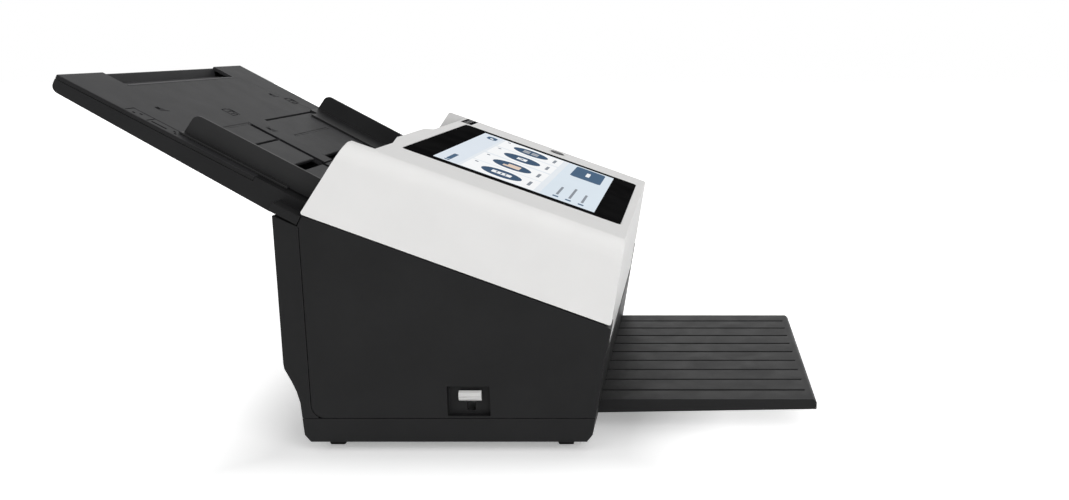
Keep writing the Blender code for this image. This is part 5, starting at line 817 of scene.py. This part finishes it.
# Underside of the tray
UNDERSIDE_DEPTH = -0.060
TRAY_RIB_XS = (-0.090, -0.045, 0.0, 0.045, 0.090)
TRAY_RIB_ALONG = 0.070
TRAY_RIB = (0.0008, 0.042, -0.0002, 0.0009)
TRAY_SCREWS = ((-0.115, 0.024), (0.115, 0.024), (-0.115, 0.112), (0.115, 0.112))
RIB_EASE = 0.0003


def on_tray(shape, name, *values, look="tray_mark"):
    """Piece drawn or moulded on the input tray."""
    return shape(name, *values, LOOK[look], "paper_input", TRAY_PLACE)


def make_tray_sides():
    for side, name in ((-1, "left"), (1, "right")):
        side_bar(f"tray_edge_{name}", side, *EDGE_STRIP, LOOK["black_plastic"], "paper_input", TRAY_PLACE)
        flange = (*GUIDE_FLANGE, LOOK["guide_plastic"], f"{name}_paper_guide", TRAY_PLACE, GUIDE_FLANGE_EASE)
        side_bar(f"{name}_guide_flange", side, *flange)


def make_tray_top():
    for name, x0, x1, y0, y1, low, high, look, body, ease in TRAY_BARS:
        bar(name, x0, x1, y0, y1, low, high, LOOK[look], body, TRAY_PLACE, ease)
    tray = LOOK["tray_plastic"]
    slab("tray_strip", STRIP_OUTLINE, 0, RAISED, tray, "paper_input", TRAY_PLACE, RAISED_EASE)
    for index, (x, along) in enumerate(TONGUE_PLACES):
        tongue = []
        for dx, near, far, low, high in TONGUE_SECTIONS:
            corners = ((near, low), (far, low), (far, high), (near, high))
            tongue.append([(x + dx, along + step, level) for step, level in corners])
        on_tray(loft, f"tray_tongue_{index}", tongue, look="tray_plastic")
    for index, line in enumerate(PRINTED_LINES):
        on_tray(bar, f"tray_line_{index}", *line, 0, PRINTED)
    for index, (x, along) in enumerate(SHEET_PLACES):
        sheet = shifted(SHEET_OUTLINE, x, along)
        on_tray(plate, f"tray_sheet_{index}", sheet, [inset(sheet, SHEET_BORDER)], 0, PRINTED)
        for row in range(2):
            low = along + SHEET_LINE_FIRST + SHEET_LINE_PITCH * row
            ends = (x - SHEET_LINE_HALF_WIDTH, x + SHEET_LINE_HALF_WIDTH, low, low + SHEET_LINE_LENGTH)
            on_tray(bar, f"tray_sheet_line_{index}_{row}", *ends, 0, PRINTED)
        on_tray(slab, f"tray_arrow_{index}", shifted(ARROW_OUTLINE, x, along), 0, PRINTED)


def below_tray(x, along):
    """Place on the tray's underside, below a point of its top."""
    turn = TRAY_PLACE.to_3x3()
    below = TRAY_PLACE @ Vector((x, along, UNDERSIDE_DEPTH))
    return seat("tray_shell", below, turn @ Vector(UP), turn @ Vector(REARWARD))


def make_tray_underside():
    for index, x in enumerate(TRAY_RIB_XS):
        place = below_tray(x, TRAY_RIB_ALONG)
        block(f"tray_rib_{index}", *TRAY_RIB, LOOK["black_plastic"], "paper_input", place, RIB_EASE)
    for index, (x, along) in enumerate(TRAY_SCREWS):
        screw(f"tray_screw_{index}", below_tray(x, along), "paper_input")


# Rear wall: screws by (x, z), and sockets by name, x, width and height; marks in the wall's plane
REAR_SCREWS = ((-0.126, 0.030), (0.126, 0.030), (-0.100, 0.100), (0.100, 0.100))
SOCKET_FLOOR_Z = 0.072
SOCKET_MARK_RISE = 0.004
SOCKETS = (
    ("network", -0.080, 0.0160, 0.0136),
    ("usb", -0.050, 0.0130, 0.0120),
    ("power", 0.045, 0.0140, 0.0130),
)
SURROUND_MARGIN = 0.0016
SURROUND_RADIUS = 0.0014
SURROUND_GAP = 0.0004
SURROUND_FOOT = -0.0001
SURROUND_HEIGHT = 0.0003
NETWORK_BOXES = ((0, 0.0052), (-0.0022, 0.0020), (0.0022, 0.0020))
NETWORK_BOX_HALF_WIDTH = 0.0009
NETWORK_BOX_HEIGHT = 0.0016
USB_BOX = card_outline(-0.0022, 0.0022, 0.0022, 0.0052, 0.0004)
USB_BOX_HOLE = card_outline(-0.0015, 0.0015, 0.0028, 0.0046, 0.0002)
POWER_LINE = (-0.0030, 0.0030, 0.0044, 0.0049)
POWER_DASHES_X = (-0.0030, -0.0007, 0.0016)
POWER_DASH_LENGTH = 0.0014
POWER_DASH_Y = (0.0030, 0.0035)
# Blank labels, each a foil; the rear one has a printed border
LABEL_HEIGHT = 0.00014
REAR_LABEL_PLACE = (0.084, 0.0755)
REAR_LABEL_OUTLINE = centred_outline(0.021, 0.0115, 0.0012)
LABEL_BORDER_OUTLINE = centred_outline(0.0195, 0.0100, 0.0008)
LABEL_BORDER_WIDTH = 0.0004
LABEL_BORDER_FOOT = 0.0001
LABEL_BORDER_HEIGHT = 0.00020
BASE_LABEL_PLACE = (0.020, 0.010)
BASE_LABEL_OUTLINE = centred_outline(0.035, 0.018, 0.0015)
# Underside of the base and of the output tray, by (x, y)
BASE_SCREWS = ((-0.120, -0.040), (0.120, -0.040), (-0.120, 0.045), (0.120, 0.045))
LOUVRE_X = 0.075
LOUVRE_FIRST_Y = 0.030
LOUVRE_PITCH = 0.005
LOUVRE_COUNT = 8
LOUVRE = (0.018, 0.0009, -0.0001, 0.0008)
OUTPUT_RIB_XS = (-0.088, -0.044, 0.0, 0.044, 0.088)
OUTPUT_RIB_Y = -0.165
OUTPUT_RIB = (0.0009, 0.050, -0.0001, 0.0010)


def on_rear(x, z):
    return seat("rear_cover", (x, RAY_REACH, z), FORWARD)


def below_base(x, y):
    return seat("base_pan", (x, y, RAY_BELOW), UP, REARWARD)


def socket_outline(width, height, margin, radius):
    """Outline around a socket, seen from the place of its mark above it."""
    half, drop = width / 2 + margin, height / 2 + SOCKET_MARK_RISE
    return card_outline(-half, half, -drop - height / 2 - margin, -drop + height / 2 + margin, radius)


def make_network_mark(look, place):
    for number, (x, y) in enumerate(NETWORK_BOXES):
        x0, x1 = x - NETWORK_BOX_HALF_WIDTH, x + NETWORK_BOX_HALF_WIDTH
        bar(f"network_mark_{number}", x0, x1, y, y + NETWORK_BOX_HEIGHT, 0, PRINTED, look, "base", place)


def make_usb_mark(look, place):
    plate("usb_mark", USB_BOX, [USB_BOX_HOLE], 0, PRINTED, look, "base", place)


def make_power_mark(look, place):
    bar("power_mark_line", *POWER_LINE, 0, PRINTED, look, "base", place)
    for number, x in enumerate(POWER_DASHES_X):
        dash = (x, x + POWER_DASH_LENGTH, *POWER_DASH_Y)
        bar(f"power_mark_dash_{number}", *dash, 0, PRINTED, look, "base", place)


def make_sockets():
    makers = (make_network_mark, make_usb_mark, make_power_mark)
    for (name, x, width, height), make_mark in zip(SOCKETS, makers):
        place = on_rear(x, SOCKET_FLOOR_Z + height / 2 + SOCKET_MARK_RISE)
        outer = socket_outline(width, height, SURROUND_MARGIN, SURROUND_RADIUS)
        hole = socket_outline(width, height, SURROUND_GAP, SURROUND_GAP)
        look = LOOK["dark_plastic"]
        plate(f"{name}_surround", outer, [hole], SURROUND_FOOT, SURROUND_HEIGHT, look, "base", place)
        make_mark(LOOK["pale_mark"], place)


def make_labels():
    place = on_rear(*REAR_LABEL_PLACE)
    slab("rear_label", REAR_LABEL_OUTLINE, 0, LABEL_HEIGHT, LOOK["label_foil"], "base", place)
    border = (LABEL_BORDER_OUTLINE, [inset(LABEL_BORDER_OUTLINE, LABEL_BORDER_WIDTH)])
    levels = (LABEL_BORDER_FOOT, LABEL_BORDER_HEIGHT)
    plate("rear_label_border", *border, *levels, LOOK["chip_black"], "base", place)
    place = below_base(*BASE_LABEL_PLACE)
    slab("base_label", BASE_LABEL_OUTLINE, 0, LABEL_HEIGHT, LOOK["label_foil"], "base", place)


def make_undersides():
    for index, (x, y) in enumerate(BASE_SCREWS):
        screw(f"base_screw_{index}", below_base(x, y), "base", BASE_SCREW_RADIUS)
    for side, name in ((-1, "left"), (1, "right")):
        for index in range(LOUVRE_COUNT):
            place = below_base(side * LOUVRE_X, LOUVRE_FIRST_Y + LOUVRE_PITCH * index)
            block(f"base_louvre_{name}_{index}", *LOUVRE, LOOK["black_plastic"], "base", place, RIB_EASE)
    for index, x in enumerate(OUTPUT_RIB_XS):
        place = seat("output_tray", (x, OUTPUT_RIB_Y, 0), UP, REARWARD)
        block(f"output_rib_{index}", *OUTPUT_RIB, LOOK["tray_plastic"], "paper_output", place, RIB_EASE)


def make_body_details():
    for index, (x, z) in enumerate(REAR_SCREWS):
        screw(f"rear_screw_{index}", on_rear(x, z), "base")
    make_sockets()
    make_labels()
    make_undersides()


# Scan glasses: name, node, body, ray start and direction; their black border
GLASS_BORDERS = (
    ("lower_glass_border", "lower_scan_glass", "base", (0, -0.0300, RAY_REACH), DOWN),
    ("upper_glass_border", "upper_scan_glass", "cover", (0, -0.0335, 0), UP),
)
BORDER_OUTLINE = centred_outline(0.1080, 0.0062, 0.0006)
BORDER_HOLE = centred_outline(0.1060, 0.0044, 0.0006)
# Rollers: name, body, centre (y, z), radius, x of the tyres' middles; treads on each tyre
ROLLERS = (
    ("feed", "feed_roller", (0.0263, 0.1058), 0.0140, (-0.018, 0.018)),
    ("transport", "transport_roller", (-0.0039, 0.0964), 0.0090, (-0.050, 0.050)),
    ("exit", "exit_roller", (-0.0579, 0.0696), 0.0090, (-0.050, 0.050)),
)
TREAD_COUNT = 5
TREAD_PITCH = 0.0035
TREAD_HALF_FOOT = 0.0007
TREAD_HALF_TOP = 0.0004
TREAD_SUNK = 0.0002
TREAD_PROUD = 0.0001
# Motor: centre (y, z) of its shaft, and stations (x, radius) of its boss and of its band
MOTOR_CENTRE = (0.00984, 0.07675)
MOTOR_BOSS = ((0.0836, 0.0060), (0.0838, 0.0064), (0.0848, 0.0064))
MOTOR_BAND = ((0.0900, 0.0168), (0.0902, 0.01715), (0.1100, 0.01715), (0.1102, 0.0168))
# Side frames: screws on their inner faces by (y, z)
FRAME_SCREWS = ((-0.0700, 0.0240), (0.0600, 0.0240), (0.0650, 0.0900), (-0.0750, 0.0440))
# Main board: chips by name, x, z, half width and half height
CHIPS = (
    ("processor", -0.050, 0.086, 0.0075, 0.0075),
    ("memory", -0.028, 0.086, 0.0050, 0.0070),
    ("bridge", -0.075, 0.055, 0.0055, 0.0055),
    ("driver", 0.030, 0.060, 0.0060, 0.0045),
    ("regulator", 0.010, 0.050, 0.0035, 0.0035),
)
CHIP_HEIGHT = 0.0013
CHIP_RADIUS = 0.0004
CHIP_EASE = 0.0002
PIN_END_ROOM = 0.0006
PIN_LENGTH = 0.0008
PIN_HALF_WIDTH = 0.0002
PIN_HEIGHT = 0.0004
CAPACITORS = ((0.045, 0.085), (0.045, 0.098), (0.032, 0.092))
CAPACITOR_OUTLINE = disc_outline(0, 0, 0.0032, 28)
CAPACITOR_HEIGHT = 0.0060
CAPACITOR_EASE = 0.0004
# Board sockets: x, z and half length
BOARD_SOCKETS = ((-0.085, 0.100, 0.008), (-0.020, 0.045, 0.012), (0.020, 0.100, 0.006))
BOARD_SOCKET_HALF_WIDTH = 0.0025
BOARD_SOCKET_RADIUS = 0.0003
BOARD_SOCKET_WALL = 0.0006
BOARD_SOCKET_HEIGHT = 0.0050


def make_glass_borders():
    for name, node, body, origin, way in GLASS_BORDERS:
        place = seat(node, origin, way, REARWARD)
        plate(name, BORDER_OUTLINE, [BORDER_HOLE], 0, PRINTED, LOOK["chip_black"], body, place)


def make_treads():
    for name, body, centre, radius, middles in ROLLERS:
        low, high = radius - TREAD_SUNK, radius + TREAD_PROUD
        for side, x in zip(("left", "right"), middles):
            for ring in range(TREAD_COUNT):
                middle = x + TREAD_PITCH * (ring - (TREAD_COUNT - 1) / 2)
                stations = (
                    (middle - TREAD_HALF_FOOT, low),
                    (middle - TREAD_HALF_TOP, high),
                    (middle + TREAD_HALF_TOP, high),
                    (middle + TREAD_HALF_FOOT, low),
                )
                turned(f"{name}_tread_{side}_{ring}", stations, centre, LOOK["tyre_rubber"], body)


def make_motor_details():
    turned("motor_boss", MOTOR_BOSS, MOTOR_CENTRE, LOOK["socket_metal"], "base")
    turned("motor_band", MOTOR_BAND, MOTOR_CENTRE, LOOK["label_foil"], "base")


def make_frame_screws():
    for side, name in ((-1, "left"), (1, "right")):
        for index, (y, z) in enumerate(FRAME_SCREWS):
            place = seat(f"{name}_frame", (0, y, z), (side, 0, 0))
            screw(f"frame_screw_{name}_{index}", place, "base", FRAME_SCREW_RADIUS)


def on_board(x, z):
    return seat("main_board", (x, 0, z), REARWARD)


def make_chip(name, x, z, half_width, half_height):
    place = on_board(x, z)
    outline = centred_outline(half_width, half_height, CHIP_RADIUS)
    slab(f"chip_{name}", outline, 0, CHIP_HEIGHT, LOOK["chip_black"], "base", place, CHIP_EASE)
    count = int(half_height / PIN_END_ROOM)
    last = half_height - PIN_END_ROOM
    for pin in range(count):
        y = -last + pin * 2 * last / (count - 1)
        for side, end in ((-1, "a"), (1, "b")):
            row = (side, half_width, half_width + PIN_LENGTH, y - PIN_HALF_WIDTH, y + PIN_HALF_WIDTH)
            side_bar(f"pin_{name}_{pin}_{end}", *row, 0, PIN_HEIGHT, LOOK["socket_metal"], "base", place)


def make_board_details():
    for chip in CHIPS:
        make_chip(*chip)
    for index, (x, z) in enumerate(CAPACITORS):
        can = (CAPACITOR_OUTLINE, 0, CAPACITOR_HEIGHT, LOOK["socket_metal"], "base")
        slab(f"capacitor_{index}", *can, on_board(x, z), CAPACITOR_EASE, True)
    for index, (x, z, half) in enumerate(BOARD_SOCKETS):
        outline = centred_outline(half, BOARD_SOCKET_HALF_WIDTH, BOARD_SOCKET_RADIUS)
        shape = (outline, [inset(outline, BOARD_SOCKET_WALL)], 0, BOARD_SOCKET_HEIGHT)
        plate(f"board_socket_{index}", *shape, LOOK["gear_plastic"], "base", on_board(x, z))


dress_nodes()
make_display()
make_cover_details()
make_tray_sides()
make_tray_top()
make_tray_underside()
make_body_details()
make_glass_borders()
make_treads()
make_motor_details()
make_frame_screws()
make_board_details()

# Studio: light of the sky on the object, and how bright the room and the floor look
SKY = 0.34
ROOM_DARK = 0.33
ROOM_FROM = -0.3
ROOM_TO = 0.5
FLOOR_HALF_SIZE = 6.0
FLOOR_COLOUR = (0.88, 0.88, 0.88)
# The floor's glow is lower near the object's foot, a painted shade there, and higher further out, where it
# paints the shadow out.
NEAR_GLOW = 0.30
FAR_GLOW = 0.70
GLOW_FROM = 0.012
GLOW_TO = 0.075
FOOT_HALF_WIDTH = 0.135
FOOT_HALF_LENGTH = 0.095
# Lamps: name, direction, width in degrees, and what white that faces one sends back
LAMPS = (
    ("key", (-0.75, -0.55, 0.36), 50, 0.60),
    ("fill", (-0.70, 0.70, 0.50), 60, 0.12),
    ("top", (0.25, 0.10, 1.00), 70, 0.11),
)
CAMERA_LENS = 35.57
CAMERA_SENSOR = 36
CAMERA_SHIFT = -0.1478
CAMERA_PLACE = (-0.7535, -0.1478, 0.2466)
CAMERA_TILT = 11.08


def ray_kinds(tree):
    """Two values: 1 for camera rays, and 1 for glossy and transmission rays."""
    path = tree.nodes.new("ShaderNodeLightPath")
    mirrored = combine(tree, "MAXIMUM", path.outputs["Is Glossy Ray"], path.outputs["Is Transmission Ray"])
    return path.outputs["Is Camera Ray"], mirrored


def floor_glow(tree):
    """How much brighter the floor looks than it lights: less near the object's foot, a painted shade around
    it, and more away from it, which paints the farther shadows out.
    """
    direct, mirrored = ray_kinds(tree)
    place = tree.nodes.new("ShaderNodeSeparateXYZ")
    tree.links.new(tree.nodes.new("ShaderNodeTexCoord").outputs["Object"], place.inputs[0])
    beside = combine(tree, "SUBTRACT", combine(tree, "ABSOLUTE", place.outputs["X"], 0.0), FOOT_HALF_WIDTH)
    beyond = combine(tree, "SUBTRACT", combine(tree, "ABSOLUTE", place.outputs["Y"], 0.0), FOOT_HALF_LENGTH)
    away = combine(tree, "MAXIMUM", beside, beyond)
    glow = remap(tree, away, GLOW_FROM, GLOW_TO, NEAR_GLOW, FAR_GLOW)
    return combine(tree, "MULTIPLY", combine(tree, "MAXIMUM", direct, mirrored), glow)


def floor_material():
    material = bpy.data.materials.new("floor_white")
    material.use_nodes = True
    tree = material.node_tree
    tree.nodes.clear()
    output = tree.nodes.new("ShaderNodeOutputMaterial")
    diffuse = tree.nodes.new("ShaderNodeBsdfDiffuse")
    diffuse.inputs["Color"].default_value = (*FLOOR_COLOUR, 1)
    emission = tree.nodes.new("ShaderNodeEmission")
    emission.inputs["Color"].default_value = WHITE
    tree.links.new(floor_glow(tree), emission.inputs["Strength"])
    both = tree.nodes.new("ShaderNodeAddShader")
    tree.links.new(diffuse.outputs[0], both.inputs[0])
    tree.links.new(emission.outputs[0], both.inputs[1])
    tree.links.new(both.outputs[0], output.inputs["Surface"])
    return material


def make_floor():
    size = FLOOR_HALF_SIZE
    corners = [(-size, -size, 0), (size, -size, 0), (size, size, 0), (-size, size, 0)]
    floor = mesh_piece("floor", corners, [[0, 1, 2, 3]], floor_material(), None)


def make_world():
    """White backdrop ahead of the camera, a dim studio behind it, and soft light all round."""
    world = bpy.data.worlds.new("studio")
    bpy.context.scene.world = world
    world.use_nodes = True
    tree = world.node_tree
    background = tree.nodes["Background"]
    background.inputs["Color"].default_value = WHITE
    direction = tree.nodes.new("ShaderNodeSeparateXYZ")
    tree.links.new(tree.nodes.new("ShaderNodeTexCoord").outputs["Generated"], direction.inputs[0])
    room = remap(tree, direction.outputs["X"], ROOM_FROM, ROOM_TO, ROOM_DARK, 1.0)
    direct, mirrored = ray_kinds(tree)
    strength = combine(tree, "ADD", SKY, combine(tree, "MULTIPLY", direct, 1.0 - SKY))
    extra = combine(tree, "MULTIPLY", mirrored, combine(tree, "SUBTRACT", room, SKY))
    tree.links.new(combine(tree, "ADD", strength, extra), background.inputs["Strength"])


def add_lamp(name, towards, spread, level):
    """Far lamp in a direction, as wide as spread degrees."""
    lamp = bpy.data.lights.new(name, "SUN")
    lamp.angle = math.radians(spread)
    lamp.energy = level * math.pi
    piece = bpy.data.objects.new(name, lamp)
    piece.rotation_euler = (-Vector(towards)).to_track_quat("-Z", "Y").to_euler()
    bpy.context.scene.collection.objects.link(piece)


def make_camera():
    """Camera at the photograph's place, looking across the scanner from its left."""
    camera = bpy.data.cameras.new("photo_view")
    camera.lens = CAMERA_LENS
    camera.sensor_width = CAMERA_SENSOR
    camera.shift_x = CAMERA_SHIFT
    piece = bpy.data.objects.new("photo_view", camera)
    piece.location = CAMERA_PLACE
    piece.rotation_euler = (math.radians(90 - CAMERA_TILT), 0, math.radians(-90))
    bpy.context.scene.collection.objects.link(piece)
    bpy.context.scene.camera = piece


make_floor()
make_world()
for settings in LAMPS:
    add_lamp(*settings)
make_camera()
bpy.context.scene.view_settings.view_transform = "Standard"
